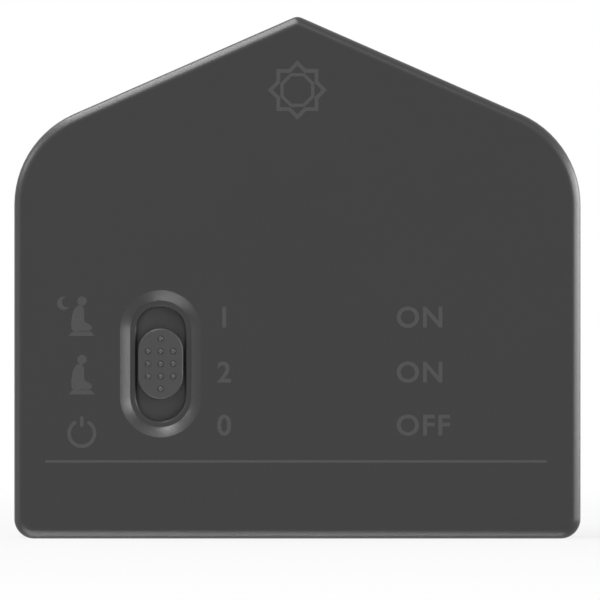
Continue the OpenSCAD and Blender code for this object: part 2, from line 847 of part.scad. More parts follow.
module charging_tongue() {
    root_w = usb_w - 2 * (usb_wall + root_gap);
    root_h = usb_h - 2 * (usb_wall + root_gap);
    color("#141416") upright() at_usb(usb_back) {
        linear_extrude(root_l) stadium(root_w, root_h);
        block([tongue_w, tongue_t, usb_l - tongue_sink], 0);
    }
}

module battery_pouch() {
    seal_w = battery_w - battery_t;
    color("#b4b7bb") upright() translate([battery_left, battery_mid_y, battery_mid_z]) rotate([90, 0, 90]) {
        linear_extrude(battery_l - seal_l) stadium(battery_w, battery_t);
        block([seal_w, seal_t, battery_l], 0);
    }
}

module battery_pad() {
    pad_w = battery_w - battery_t - 2 * pad_edge;
    pad_l = battery_l - seal_l - 2 * pad_edge;
    color("#d8d4c6") upright() translate([battery_left + pad_edge, battery_mid_y - pad_w / 2, board_high])
        cube([pad_l, pad_w, pad_t]);
}

// A round lead swept along a path
module lead(path) {
    last = len(path) - 1;
    rim = lead_sides;
    points = [for (i = [0:last])
        let (
            ahead = path[min(i + 1, last)] - path[max(i - 1, 0)],
            across = cross(ahead, [0, 0, 1]) / norm(cross(ahead, [0, 0, 1])),
            up = cross(across, ahead) / norm(ahead)
        )
        for (k = [0:rim - 1])
            path[i] + lead_d / 2 * (across * cos(360 * k / rim) + up * sin(360 * k / rim))];
    sleeve = [for (i = [0:last - 1], k = [0:rim - 1])
        let (a = i * rim + k, b = i * rim + (k + 1) % rim)
        each [[a, a + rim, b], [b, a + rim, b + rim]]];
    caps = [for (k = [1:rim - 2]) each [[0, k, k + 1], [last * rim, last * rim + k + 1, last * rim + k]]];
    polyhedron(points, concat(sleeve, caps));
}

// A lead's whole path: straight out of the seal, by the hand-set bends, straight into its wire hole
module battery_lead(side, bends) {
    seal_end = seal_point + [lead_gap, side * lead_pitch / 2, 0];
    plug_end = plug_point - [side * lead_pitch / 2, 0, 0];
    route = concat(
        [seal_end + [lead_d, 0, 0]],
        [for (bend = bends[0]) seal_point + bend],
        [for (bend = bends[1]) plug_point + bend],
        [plug_end - [0, lead_d, 0]]
    );
    upright() lead(concat([seal_end], smooth_route(route, route_steps), [plug_end + [0, lead_in, 0]]));
}

module battery_lead_red() {
    color("#b3261e") battery_lead(1, red_bends);
}

module battery_lead_black() {
    color("#1a1a1a") battery_lead(-1, black_bends);
}

module battery_plug() {
    color("#f0efe9") upright() difference() {
        translate([plug_x, plug_y + plug_l / 2, 0]) block([plug_w, plug_l, plug_h], plug_z);
        for (side = [-1, 1]) {
            translate(plug_point + [side * lead_pitch / 2, -over, 0]) rotate([-90, 0, 0])
                cylinder(d = lead_d + 2 * lead_gap, h = over + lead_in + lead_gap);
        }
    }
}

module battery_socket() {
    inner = [plug_w + 2 * plug_gap, plug_l - plug_out + plug_gap, plug_h + plug_gap];
    outer = [inner.x + 2 * plug_wall, inner.y + plug_wall, inner.z + 2 * plug_wall];
    color("#e6e2d6") upright() translate([plug_x, plug_y + plug_out, board_high]) difference() {
        translate([-outer.x / 2, 0, 0]) cube(outer);
        translate([-inner.x / 2, -over, plug_wall]) cube(inner + [0, over, 0]);
    }
}

module slider_knob() {
    bump_r = (pow(bump_d / 2, 2) + pow(bump_h, 2)) / (2 * bump_h);
    socket = [stem_w + 2 * stem_gap, stem_l + 2 * stem_gap, knob_z - socket_roof - flange_z + over];
    color("#48484b") upright() at_switch() difference() {
        union() {
            translate([0, 0, flange_z]) oval(knob_l - knob_w)
                edge_profile(knob_w / 2, knob_z - flange_z, knob_edge);
            block([flange_w, flange_l, flange_t], flange_z);
            for (bump = bumps) {
                translate([bump.x * bump_pitch, bump.y * bump_pitch, knob_z + bump_h - bump_r])
                    sphere(bump_r);
            }
        }
        block(socket, flange_z - over);
    }
}

module switch_frame() {
    slot = [stem_w + 2 * block_gap, stem_l + 2 * (travel + block_gap), frame_t + 2 * over];
    color("#b0b3b6") upright() at_switch() {
        difference() {
            block([frame_w, frame_l, frame_h], board_high);
            block([frame_in_w, frame_in_l, frame_h - frame_t + over], board_high - over);
            block(slot, frame_z - frame_t - over);
        }
        at_legs() block([leg_w, frame_t, pin_tail + board_t + frame_h / 2], board_low - pin_tail);
    }
}

module switch_base() {
    color("#7a4f2c") upright() at_switch() difference() {
        block([frame_in_w, frame_in_l, terminal_t], board_high);
        at_pins() translate([0, 0, board_high - over])
            cylinder(d = pin_d + 2 * stem_gap, h = terminal_t + 2 * over);
    }
}

module switch_pins() {
    color("#d3d0c4") upright() at_switch() at_pins() {
        translate([0, 0, board_low - pin_tail])
            cylinder(d = pin_d, h = pin_tail + board_t + terminal_t + pin_head_h);
        translate([0, 0, terminal_z]) cylinder(d = pin_head_d, h = pin_head_h);
    }
}

module switch_block() {
    color("#1c1c1e") upright() at_switch() {
        block([frame_in_w - 2 * block_gap, block_l, frame_z - frame_t - block_gap - block_z], block_z);
        block([stem_w, stem_l, stem_z - block_z], block_z);
    }
}

module switch_contact() {
    reach = travel / 2;
    half = [
        [reach - foot_l, contact_h], [reach - foot_l / 2, contact_t], [reach + foot_l / 2, contact_t],
        [reach + foot_l / 2, 0], [reach - foot_l / 2 - contact_t, 0],
        [reach - foot_l - contact_t, contact_h - contact_t],
    ];
    other = [for (i = [len(half) - 1:-1:0]) [-half[i].x, half[i].y]];
    color("#c08a4a") upright() at_switch() translate([0, 0, contact_z]) rotate([90, 0, 90])
        linear_extrude(contact_w, center = true) polygon(concat(half, other));
}

base_cover();
top_cover();
display_lens();
lens_tape();
display_film();
display_frame();
display_lamps();
sensor_shroud();
infrared_emitter();
infrared_receiver();
main_board();
board_screws();
controller_chip();
charger_chip();
chip_resistors();
chip_capacitors();
charging_socket();
charging_tongue();
battery_pouch();
battery_pad();
battery_lead_red();
battery_lead_black();
battery_plug();
battery_socket();
slider_knob();
switch_frame();
switch_base();
switch_pins();
switch_block();
switch_contact();
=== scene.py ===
"""Looks of a house-shaped prostration counter: covers, thumb slider, display window, print and insides."""
import logging
import math
from dataclasses import dataclass, replace
from enum import Enum
from functools import partial
from typing import Mapping, NamedTuple, Sequence

import bmesh
import bpy
from mathutils import Matrix, Vector


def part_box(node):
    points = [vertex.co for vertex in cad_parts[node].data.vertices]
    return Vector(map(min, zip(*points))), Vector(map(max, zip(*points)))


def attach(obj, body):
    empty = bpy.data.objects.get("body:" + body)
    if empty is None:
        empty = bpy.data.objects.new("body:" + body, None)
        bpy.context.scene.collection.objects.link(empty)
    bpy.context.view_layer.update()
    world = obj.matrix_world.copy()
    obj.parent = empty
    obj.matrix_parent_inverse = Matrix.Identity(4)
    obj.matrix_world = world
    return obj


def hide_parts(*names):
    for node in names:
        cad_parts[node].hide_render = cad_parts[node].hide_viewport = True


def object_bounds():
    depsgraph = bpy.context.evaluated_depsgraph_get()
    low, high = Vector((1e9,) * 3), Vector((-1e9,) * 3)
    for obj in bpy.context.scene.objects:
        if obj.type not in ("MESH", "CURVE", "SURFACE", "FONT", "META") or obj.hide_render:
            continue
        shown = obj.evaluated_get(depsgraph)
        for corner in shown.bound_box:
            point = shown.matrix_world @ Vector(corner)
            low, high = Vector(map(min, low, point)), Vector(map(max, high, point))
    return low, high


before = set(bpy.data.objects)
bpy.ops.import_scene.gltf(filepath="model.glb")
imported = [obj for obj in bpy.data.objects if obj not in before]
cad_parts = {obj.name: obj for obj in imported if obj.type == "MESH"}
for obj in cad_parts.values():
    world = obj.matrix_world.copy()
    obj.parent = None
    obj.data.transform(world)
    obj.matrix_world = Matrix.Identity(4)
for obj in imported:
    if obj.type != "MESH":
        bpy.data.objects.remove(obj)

Colour = tuple[float, float, float]
Material = bpy.types.Material
Mesh = bmesh.types.BMesh
Ring = list[bmesh.types.BMEdge]

CAD_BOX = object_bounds()
X, Y, Z = Vector((1, 0, 0)), Vector((0, 1, 0)), Vector((0, 0, 1))
WHITE = (1.0, 1.0, 1.0)
# Lengths are in millimetres unless a comment says otherwise; MM turns them into metres.
MM = 0.001
# The steps that arcs and fillets are drawn in, and the angle from which an edge is shaded sharp.
ARC_STEP = math.radians(5)
FILLET_STEP = math.radians(9)
SHARP_ANGLE = math.radians(24)
# The width of a support loop beside an edge; tolerances are shares of it.
TIE = 0.06
# How far the print stands proud of the face.
PRINT_T = 0.03
# How strong each finer layer of a noise is beside the one before it.
NOISE_LAYER = 0.6
LOG = logging.getLogger("counter")


class Body(Enum):
    """The two bodies that the slide joint joins."""

    HOUSING = "housing"
    SLIDER = "slider"


class Box(NamedTuple):
    """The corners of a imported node, in millimetres."""

    low: Vector
    high: Vector

    @classmethod
    def of(cls, node: str) -> "Box":
        """Reads a node's box from the imported model."""
        low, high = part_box(node)
        return cls(low / MM, high / MM)

    @property
    def middle(self) -> Vector:
        """The box's centre."""
        return (self.low + self.high) / 2

    @property
    def size(self) -> Vector:
        """The box's edge lengths."""
        return self.high - self.low


class Field:
    """A value that varies over a surface: wraps a node's output and turns Python maths into nodes."""

    def __init__(self, bench: "Bench", socket: bpy.types.NodeSocket | None) -> None:
        """Keeps the bench that adds nodes and the output it stands for."""
        self.bench = bench
        self.socket = socket

    def math(self, operation: str, *values: "Field | float") -> "Field":
        """Adds one Math node.

        Args:
            operation: the Math node's operation.
            values: fields or numbers for its sockets, in order.

        Returns:
            The node's result.
        """
        return self.bench.add("ShaderNodeMath", {"operation": operation}, dict(enumerate(values)))

    def __add__(self, other: "Field | float") -> "Field":
        """Sum."""
        return self.math("ADD", self, other)

    def __radd__(self, other: float) -> "Field":
        """Sum with a number on the left."""
        return self.math("ADD", other, self)

    def __sub__(self, other: "Field | float") -> "Field":
        """Difference."""
        return self.math("SUBTRACT", self, other)

    def __rsub__(self, other: float) -> "Field":
        """Difference from a number on the left."""
        return self.math("SUBTRACT", other, self)

    def __mul__(self, other: "Field | float") -> "Field":
        """Product."""
        return self.math("MULTIPLY", self, other)

    def __rmul__(self, other: float) -> "Field":
        """Product with a number on the left."""
        return self.math("MULTIPLY", other, self)

    def __lt__(self, other: float) -> "Field":
        """One where the field is less than a number, else zero."""
        return self.math("LESS_THAN", self, other)

    def __gt__(self, other: float) -> "Field":
        """One where the field is more than a number, else zero."""
        return self.math("GREATER_THAN", self, other)

    def __or__(self, other: "Field") -> "Field":
        """The larger of two masks."""
        return self.math("MAXIMUM", self, other)

    def __abs__(self) -> "Field":
        """Size without sign."""
        return self.math("ABSOLUTE", self)

    def wave(self, pitch: float) -> "Field":
        """Distance to the nearest multiple of a pitch."""
        return self.math("PINGPONG", self, pitch / 2)

    def around(self, middle: float, swing: float) -> "Field":
        """A pattern from 0 to 1 turned into a value that swings round a middle."""
        return middle - swing / 2 + self * swing


class Bench:
    """Adds nodes to one shader tree."""

    def __init__(self, tree: bpy.types.NodeTree) -> None:
        """Takes over a tree and empties it."""
        self.tree = tree
        tree.nodes.clear()

    def add(
        self,
        kind: str,
        settings: Mapping[str, object] | None = None,
        inputs: Mapping[int | str, object] | None = None,
        output: int | str = 0,
    ) -> Field:
        """Adds one node.

        Args:
            kind: the node's type.
            settings: the node's own properties, set first.
            inputs: a field or a value for each named or numbered socket.
            output: the output to return.

        Returns:
            The chosen output, or a field without one for an output node.
        """
        node = self.tree.nodes.new(kind)
        for key, value in (settings or {}).items():
            setattr(node, key, value)
        for key, value in (inputs or {}).items():
            if isinstance(value, Field):
                self.tree.links.new(value.socket, node.inputs[key])
            else:
                node.inputs[key].default_value = value
        return Field(self, node.outputs[output] if node.outputs else None)

    def place(self, stretch: Sequence[float] | None = None) -> Field:
        """Object coordinates, stretched along the axes where a pattern has a direction.

        Args:
            stretch: scale along each axis.

        Returns:
            The coordinates, in metres.
        """
        here = self.add("ShaderNodeTexCoord", output="Object")
        if stretch is None:
            return here
        return self.add("ShaderNodeMapping", None, {"Vector": here, "Scale": stretch})

    def axis(self, name: str) -> Field:
        """One of the object coordinates, in millimetres."""
        return self.add("ShaderNodeSeparateXYZ", None, {0: self.place()}, name) * (1 / MM)

    def noise(self, per_mm: float, detail: float = 2.0, stretch: Sequence[float] | None = None) -> Field:
        """Soft noise.

        Args:
            per_mm: grains in a millimetre.
            detail: how many finer layers are added.
            stretch: scale along each axis.

        Returns:
            The noise, about 0.5 on average.
        """
        sockets = {"Vector": self.place(stretch), "Scale": per_mm / MM, "Detail": detail}
        return self.add("ShaderNodeTexNoise", None, sockets | {"Roughness": NOISE_LAYER})

    def cells(self, per_mm: float) -> Field:
        """Distance to the nearest of scattered points, as in foam."""
        return self.add("ShaderNodeTexVoronoi", None, {"Vector": self.place(), "Scale": per_mm / MM})

    def blend(self, mask: Field, low: Colour | Field, high: Colour | Field) -> Field:
        """Mixes two colours.

        Args:
            mask: zero for the first colour and one for the second.
            low: the first colour.
            high: the second colour.

        Returns:
            The mixed colour.
        """
        ends = [c if isinstance(c, Field) else rgba(c) for c in (low, high)]
        return self.add("ShaderNodeMix", {"data_type": "RGBA"}, {0: mask, 6: ends[0], 7: ends[1]}, 2)

    def tones(self, mask: Field, tint: Colour, low: float, high: float) -> Field:
        """Mixes a darker and a lighter tone of one tint, each a share of it."""
        return self.blend(mask, shade(tint, low), shade(tint, high))

    def relief(self, height: Field, depth_mm: float) -> Field:
        """A normal bumped by a height from 0 to 1, whose full step has a depth."""
        return self.add("ShaderNodeBump", None, {"Height": height, "Distance": depth_mm * MM})

    def seen(self) -> Field:
        """One for rays that show a background directly, in a mirror or through glass.

        Returns:
            One for such rays, and zero for those that only light.
        """
        names = ("Is Camera Ray", "Is Glossy Ray", "Is Transmission Ray")
        camera, glossy, through = (self.add("ShaderNodeLightPath", output=name) for name in names)
        return camera | glossy | through


class Paint(Bench):
    """A material's nodes."""

    def __init__(self, name: str) -> None:
        """Makes an empty material of that name.

        Args:
            name: the material's name.
        """
        self.material = bpy.data.materials.new(name)
        self.material.use_nodes = True
        super().__init__(self.material.node_tree)

    def show(self, shader: Field) -> Material:
        """Joins a shader to the output and returns the finished material."""
        self.add("ShaderNodeOutputMaterial", None, {"Surface": shader})
        return self.material

    def finish(self, **sockets: object) -> Material:
        """Makes a Principled shader.

        Args:
            sockets: the shader's sockets by name, in small letters with underscores.

        Returns:
            The finished material.
        """
        titles = {"specular_ior_level": "Specular IOR Level"}
        named = {titles.get(key, key.replace("_", " ").title()): value for key, value in sockets.items()}
        return self.show(self.add("ShaderNodeBsdfPrincipled", None, named))


def rgba(colour: Colour) -> tuple[float, float, float, float]:
    """A colour with full cover."""
    return (*colour, 1.0)


def shade(colour: Colour, factor: float) -> Colour:
    """A colour made darker or lighter."""
    return tuple(part * factor for part in colour)


@dataclass(frozen=True)
class Finish:
    """A finish by name; pieces that share it share one material."""

    name: str

    def material(self) -> Material:
        """The finish's material, made on first use."""
        return bpy.data.materials.get(self.name) or self.mix(Paint(self.name))

    def mix(self, paint: Paint) -> Material:
        """Joins the material's nodes; each kind of finish has its own.

        Args:
            paint: the material's nodes.

        Returns:
            The finished material.
        """
        raise NotImplementedError


@dataclass(frozen=True)
class Grained(Finish):
    """A finish with one pattern in its tone, gloss and relief; grains are counted in a millimetre."""

    tint: Colour
    roughness: float
    grain: float
    depth: float
    detail: float = 3.0
    tones: tuple[float, float] = (0.82, 1.0)
    swing: float = 0.12
    specular: float = 0.5
    metallic: float = 0.0
    coat: float = 0.0

    def pattern(self, paint: Paint) -> Field:
        """The grain itself."""
        return paint.noise(self.grain, self.detail)

    def mix(self, paint: Paint) -> Material:
        """Joins the nodes round the grain.

        Args:
            paint: the material's nodes.

        Returns:
            The finished material.
        """
        grain = self.pattern(paint)
        return paint.finish(
            base_color=paint.tones(grain, self.tint, *self.tones),
            metallic=self.metallic,
            roughness=grain.around(self.roughness, self.swing),
            specular_ior_level=self.specular,
            coat_weight=self.coat,
            normal=paint.relief(grain, self.depth),
        )


@dataclass(frozen=True)
class Foam(Grained):
    """A skin of small cells."""

    def pattern(self, paint: Paint) -> Field:
        """The cells."""
        return paint.cells(self.grain)


@dataclass(frozen=True)
class Resin(Grained):
    """Cast epoxy with flow marks under a thin polished coat."""

    grain: float = 1.2
    depth: float = 0.004
    tones: tuple[float, float] = (0.88, 1.08)
    swing: float = 0.1
    coat: float = 0.3


@dataclass(frozen=True)
class Moulding(Finish):
    """Moulded plastic with a fine spark-eroded grain, specks and a slow drift of tone.

    Grains are counted in a millimetre and tones are shares of the tint. Where a width is given for it, what
    lies nearer to the middle plane than that is paler: wear from handling, and partly a painted highlight on
    the rims.
    """

    tint: Colour
    roughness: float = 0.5
    grain: float = 6.0
    specular: float = 0.4
    swing: float = 0.18
    depth: float = 0.012
    drift: float = 0.1
    drift_grain: float = 0.06
    speck_scale: float = 0.45
    speck_share: float = 0.3
    speck_tone: float = 1.3
    # A paler band off the flat faces: wear from handling, and partly a painted highlight on the rims.
    wear_and_sheen_within: float = 0.0
    wear_and_sheen_grain: float = 0.35
    wear_and_sheen_tone: float = 1.5

    def mix(self, paint: Paint) -> Material:
        """Joins the drifting tone and the specks, with the grain in gloss and relief.

        Args:
            paint: the material's nodes.

        Returns:
            The finished material.
        """
        grain = paint.noise(self.grain, detail=3)
        speck = paint.noise(self.grain * self.speck_scale, detail=1) * self.speck_share
        return paint.finish(
            base_color=paint.blend(speck, self.tone(paint), shade(self.tint, self.speck_tone)),
            roughness=grain.around(self.roughness, self.swing),
            specular_ior_level=self.specular,
            normal=paint.relief(grain, self.depth),
        )

    def tone(self, paint: Paint) -> Field:
        """The drifting tint, paler off the flat faces: wear, and partly a painted highlight on the rims.

        Args:
            paint: the material's nodes.

        Returns:
            The colour.
        """
        cloud = paint.noise(self.drift_grain)
        drift = paint.tones(cloud, self.tint, 1 - self.drift, 1 + self.drift)
        if not self.wear_and_sheen_within:
            return drift
        # Paler off the flat faces: wear from handling, and partly a painted highlight on the rims.
        wear_and_sheen_mask = (abs(paint.axis("Y")) < self.wear_and_sheen_within) * paint.noise(self.wear_and_sheen_grain)
        return paint.blend(wear_and_sheen_mask, drift, shade(self.tint, self.wear_and_sheen_tone))


@dataclass(frozen=True)
class Lozenge:
    """A lozenge of grip bumps: its pitch, and its steps across and along from the middle."""

    pitch: float = 1.77
    columns: int = 1
    rows: int = 2

    def steps(self) -> list[Vector]:
        """The way from the middle to each bump.

        Returns:
            The steps, column by column.
        """
        columns, rows = range(-self.columns, self.columns + 1), range(-self.rows, self.rows + 1)
        places = [(c, r) for c in columns for r in rows if abs(c) + abs(r) <= self.rows]
        return [(X * c + Z * r) * self.pitch for c, r in places]

    def mask(self, across: Field, along: Field) -> Field:
        """One up to half a step outside the outer bumps, else zero."""
        side, end = (self.columns + 0.5) * self.pitch, (self.rows + 0.5) * self.pitch
        return (across < side) * (across + along < end)


@dataclass(frozen=True)
class Grip(Moulding):
    """Moulding with grip bumps, whose tone carries a painted highlight on each bump's crown and a painted
    shade ring round each bump's foot.
    """

    middle: Vector = Vector()
    bumps: Lozenge = Lozenge()
    # A painted highlight on each bump's crown and a painted shade ring round its foot: their radii and tone.
    crown_r: float = 0.2
    shade_ring_r: tuple[float, float] = (0.27, 0.5)
    shade_ring_tone: float = 0.15

    def tone(self, paint: Paint) -> Field:
        """The drifting tint with a painted highlight on each bump's crown and a painted shade ring round each
        foot.

        Args:
            paint: the material's nodes.

        Returns:
            The colour.
        """
        across, along = abs(paint.axis("X") - self.middle.x), abs(paint.axis("Z") - self.middle.z)
        aside, above = across.wave(self.bumps.pitch), along.wave(self.bumps.pitch)
        reach = aside * aside + above * above
        here = self.bumps.mask(across, along)
        # Painted shade: a dark ring round each bump's foot.
        ring = (reach > self.shade_ring_r[0] ** 2) * (reach < self.shade_ring_r[1] ** 2) * here
        # Painted highlight: a pale spot on each bump's crown.
        crown = (reach < self.crown_r ** 2) * here
        shaded = paint.blend(ring, super().tone(paint), shade(self.tint, self.shade_ring_tone))
        return paint.blend(crown, shaded, shade(self.tint, self.wear_and_sheen_tone))


@dataclass(frozen=True)
class Smoke(Finish):
    """A polished dark window, see-through over the digits and tinted over the sensors."""

    digits: Box
    sensors: Sequence[Box]
    tint: Colour = (0.006, 0.006, 0.007)
    sensor_tint: Colour = (0.02, 0.004, 0.006)
    see_through: float = 0.45
    margin: float = 0.8
    specular: float = 0.3
    gloss: float = 0.05
    smear: float = 0.07
    smear_grain: float = 0.12
    dust: float = 0.08
    dust_grain: float = 2.5
    dust_from: float = 0.68

    def mix(self, paint: Paint) -> Material:
        """Joins the window's nodes, with the clear places worked out from the pieces behind it.

        Args:
            paint: the material's nodes.

        Returns:
            The finished material.
        """
        across, up = paint.axis("X"), paint.axis("Z")
        half = self.digits.size / 2
        wide = abs(across - self.digits.middle.x) < half.x - self.margin
        tall = abs(up - self.digits.middle.z) < half.z - self.margin
        eyes = [self.eye(across - s.middle.x, up - s.middle.z, s.size.x / 2) for s in self.sensors]
        smear = paint.noise(self.smear_grain, detail=3)
        dust = paint.noise(self.dust_grain, detail=1) > self.dust_from
        return paint.finish(
            base_color=paint.blend(eyes[0] | eyes[1], self.tint, self.sensor_tint),
            roughness=self.gloss + smear * self.smear + dust * self.dust,
            alpha=1 - wide * tall * self.see_through,
            specular_ior_level=self.specular,
        )

    def eye(self, sideways: Field, upright: Field, radius: float) -> Field:
        """A round place in front of a sensor."""
        return sideways * sideways + upright * upright < (radius - self.margin / 2) ** 2


@dataclass(frozen=True)
class Glow(Finish):
    """A display segment, lit or dark; tones are shares of the tint."""

    tint: Colour
    strength: float
    unlit_tones: tuple[float, float] = (0.10, 0.14)
    lit_tones: tuple[float, float] = (0.85, 1.0)
    patch_grain: float = 0.5
    roughness: float = 0.55
    swing: float = 0.1

    def mix(self, paint: Paint) -> Material:
        """Joins the segment's nodes, a little uneven like a lamp behind a film.

        Args:
            paint: the material's nodes.

        Returns:
            The finished material.
        """
        patch = paint.noise(self.patch_grain, detail=1)
        return paint.finish(
            base_color=paint.tones(patch, self.tint, *self.unlit_tones),
            emission_color=paint.tones(patch, self.tint, *self.lit_tones),
            emission_strength=self.strength,
            roughness=patch.around(self.roughness, self.swing),
        )


@dataclass(frozen=True)
class Plating(Finish):
    """Plated sheet metal with drawing lines along one axis and faint stains."""

    tint: Colour
    roughness: float = 0.28
    lines: Sequence[float] = (0.04, 1.0, 1.0)
    line_grain: float = 14.0
    line_depth: float = 0.002
    swing: float = 0.16
    stain_grain: float = 0.4
    stain_tone: float = 0.86

    def mix(self, paint: Paint) -> Material:
        """Joins the metal's nodes, with the lines in its gloss and relief.

        Args:
            paint: the material's nodes.

        Returns:
            The finished material.
        """
        line = paint.noise(self.line_grain, 3, self.lines)
        return paint.finish(
            base_color=paint.tones(paint.noise(self.stain_grain), self.tint, self.stain_tone, 1.0),
            metallic=1.0,
            roughness=line.around(self.roughness, self.swing),
            normal=paint.relief(line, self.line_depth),
        )


@dataclass(frozen=True)
class SolderMask(Finish):
    """A board's green mask over copper tracks that stop and start in blocks."""

    tint: Colour = (0.012, 0.075, 0.035)
    track_tint: Colour = (0.03, 0.16, 0.07)
    pitch: float = 1.3
    track_w: float = 0.4
    track_t: float = 0.035
    block_grain: float = 0.09
    block_stretch: Sequence[float] = (1.0, 1.0, 0.35)
    block_from: float = 0.5
    mottle_grain: float = 3.0
    mottle_tone: float = 0.85
    roughness: float = 0.3
    swing: float = 0.12

    def mix(self, paint: Paint) -> Material:
        """Joins the mask's nodes.

        Args:
            paint: the material's nodes.

        Returns:
            The finished material.
        """
        block = paint.noise(self.block_grain, 0, self.block_stretch) > self.block_from
        track = (paint.axis("X").wave(self.pitch) < self.track_w / 2) * block
        mottle = paint.noise(self.mottle_grain)
        mask = paint.tones(mottle, self.tint, self.mottle_tone, 1.0)
        return paint.finish(
            base_color=paint.blend(track, mask, self.track_tint),
            roughness=mottle.around(self.roughness, self.swing),
            normal=paint.relief(track, self.track_t),
        )


@dataclass(frozen=True)
class PaleFloor(Finish):
    """A matte floor that looks white and keeps the object's shadow, whiter with distance in metres."""

    matte: float = 0.4
    near: float = 0.8
    rise: float = 0.8

    def mix(self, paint: Paint) -> Material:
        """Joins the floor's nodes.

        Args:
            paint: the material's nodes.

        Returns:
            The finished material.
        """
        reach = paint.add("ShaderNodeVectorMath", {"operation": "LENGTH"}, {0: paint.place()}, "Value")
        ramp = self.near + reach * self.rise
        share = paint.seen() * ramp.math("MINIMUM", ramp, 1.0)
        matte = paint.add("ShaderNodeBsdfDiffuse", None, {"Color": rgba(shade(WHITE, self.matte))})
        white = paint.add("ShaderNodeEmission", None, {"Color": rgba(WHITE)})
        return paint.show(paint.add("ShaderNodeMixShader", None, {0: share, 1: matte, 2: white}))


# The case is paler off its flat faces: wear, and partly a painted highlight on the rims.
CASE = Moulding("case_plastic", (0.010, 0.010, 0.0102), 0.37, specular=0.44, wear_and_sheen_within=8.4)
# The grip's bumps carry a painted highlight on their crowns and a painted shade ring round their feet.
GRIP = Grip("grip_plastic", (0.023, 0.023, 0.0234), 0.46, specular=0.42)
INK = Grained(
    "grey_ink", (0.030, 0.030, 0.0305), 0.4, 7.0, 0.006, detail=2.0, tones=(0.82, 1.18), specular=0.44
)
BLACK = Moulding("black_moulding", (0.012, 0.012, 0.013), 0.45)


class Pen:
    """Draws one closed loop of edges in a bmesh from points and arcs."""

    def __init__(self, bm: Mesh) -> None:
        """Starts an empty loop."""
        self.bm = bm
        self.verts: list[bmesh.types.BMVert] = []

    def points(self, *places: Vector) -> "Pen":
        """Adds corners and returns the pen."""
        self.verts += [self.bm.verts.new(place) for place in places]
        return self

    def arc(self, start: Vector, centre: Vector, axis: Vector, angle: float) -> "Pen":
        """Adds an arc.

        Args:
            start: the arc's first point.
            centre: the point it turns about.
            axis: the direction it turns about.
            angle: how far it turns.

        Returns:
            The pen.
        """
        here = self.bm.verts.new(start)
        steps = max(3, round(abs(angle) / ARC_STEP))
        bmesh.ops.spin(self.bm, geom=[here], cent=centre, axis=axis, dvec=(0, 0, 0), angle=angle, steps=steps)
        before = None
        while here is not None:
            self.verts.append(here)
            ahead = [e.other_vert(here) for e in here.link_edges if e.other_vert(here) != before]
            before, here = here, (ahead[0] if ahead else None)
        return self

    def close(self) -> Ring:
        """Joins the last point to the first and returns the loop's edges in order."""
        pairs = zip(self.verts, self.verts[1:] + self.verts[:1])
        return [self.bm.edges.get(pair) or self.bm.edges.new(pair) for pair in pairs]


class Turn(NamedTuple):
    """A corner of a section: how far in from an outline or out from a middle, its level and its fillet."""

    offset: float
    level: float
    fillet: float = 0.0


def rounded(turns: Sequence[Turn]) -> list[tuple[float, float]]:
    """Replaces each filleted corner of a section by points on its arc.

    Args:
        turns: the section's corners in order.

    Returns:
        Offsets and levels in order.
    """
    points: list[tuple[float, float]] = []
    for i, turn in enumerate(turns):
        here = Vector(turn[:2])
        if not turn.fillet:
            points.append(turn[:2])
            continue
        back = (Vector(turns[i - 1][:2]) - here).normalized()
        ahead = (Vector(turns[i + 1][:2]) - here).normalized()
        half = back.angle(ahead) / 2
        centre = here + (back + ahead).normalized() * turn.fillet / math.sin(half)
        spoke = here + back * turn.fillet / math.tan(half) - centre
        sweep = -spoke.angle_signed(here + ahead * turn.fillet / math.tan(half) - centre)
        steps = max(2, round(abs(sweep) / FILLET_STEP)) if turn.fillet > 2 * TIE else 2
        points += [tuple(centre + Matrix.Rotation(sweep * k / steps, 2) @ spoke) for k in range(steps + 1)]
    return points


@dataclass(frozen=True)
class House:
    """The case's outline: a straight foot, two walls, rounded shoulders and a pitched top."""

    half_width: float
    height: float
    slope: float = math.radians(23.7)
    shoulder: float = 14.0
    foot: float = 2.8
    edge: float = 1.45
    apex_face: float = 0.15

    def corners(self, inset: float) -> list[Vector]:
        """Sharp corners of the outline drawn in by an inset, clockwise from the apex.

        Args:
            inset: distance in from the outline.

        Returns:
            The corners at level zero.
        """
        apex_r = self.edge + self.apex_face
        peak = self.height + apex_r * (1 / math.cos(self.slope) - 1) - inset / math.cos(self.slope)
        side = self.half_width - inset
        eave = peak - side * math.tan(self.slope)
        places = [(0, peak), (side, eave), (side, inset), (-side, inset), (-side, eave)]
        return [Vector((x, 0, z)) for x, z in places]

    def ring(
        self,
        bm: Mesh,
        inset: float,
        level: float,
        least: float = 0.15,
        breaks: Sequence[float] = (),
    ) -> Ring:
        """Draws the outline, drawn in by an inset.

        Args:
            bm: the mesh to draw in.
            inset: distance in from the outline.
            level: place along y.
            least: the smallest corner radius.
            breaks: heights of extra points on the right wall, from the top down.

        Returns:
            The loop's edges.
        """
        pen = Pen(bm)
        quarter = math.pi / 2
        faces = [quarter - self.slope, 0, -quarter, -2 * quarter, quarter + self.slope]
        turns = [2 * self.slope, quarter - self.slope, quarter, quarter, quarter - self.slope]
        radii = [self.edge + self.apex_face, self.shoulder, self.foot, self.foot, self.shoulder]
        for i, (face, turn, radius) in enumerate(zip(faces, turns, radii)):
            reach = max(radius - inset, least)
            centre = self.corners(inset + reach)[i] + Y * level
            pen.arc(centre + heading(face + turn) * reach, centre, Y, turn)
            # The right wall follows the first shoulder.
            if i == 1:
                pen.points(*(Vector((self.half_width - inset, level, height)) for height in breaks))
        return pen.close()


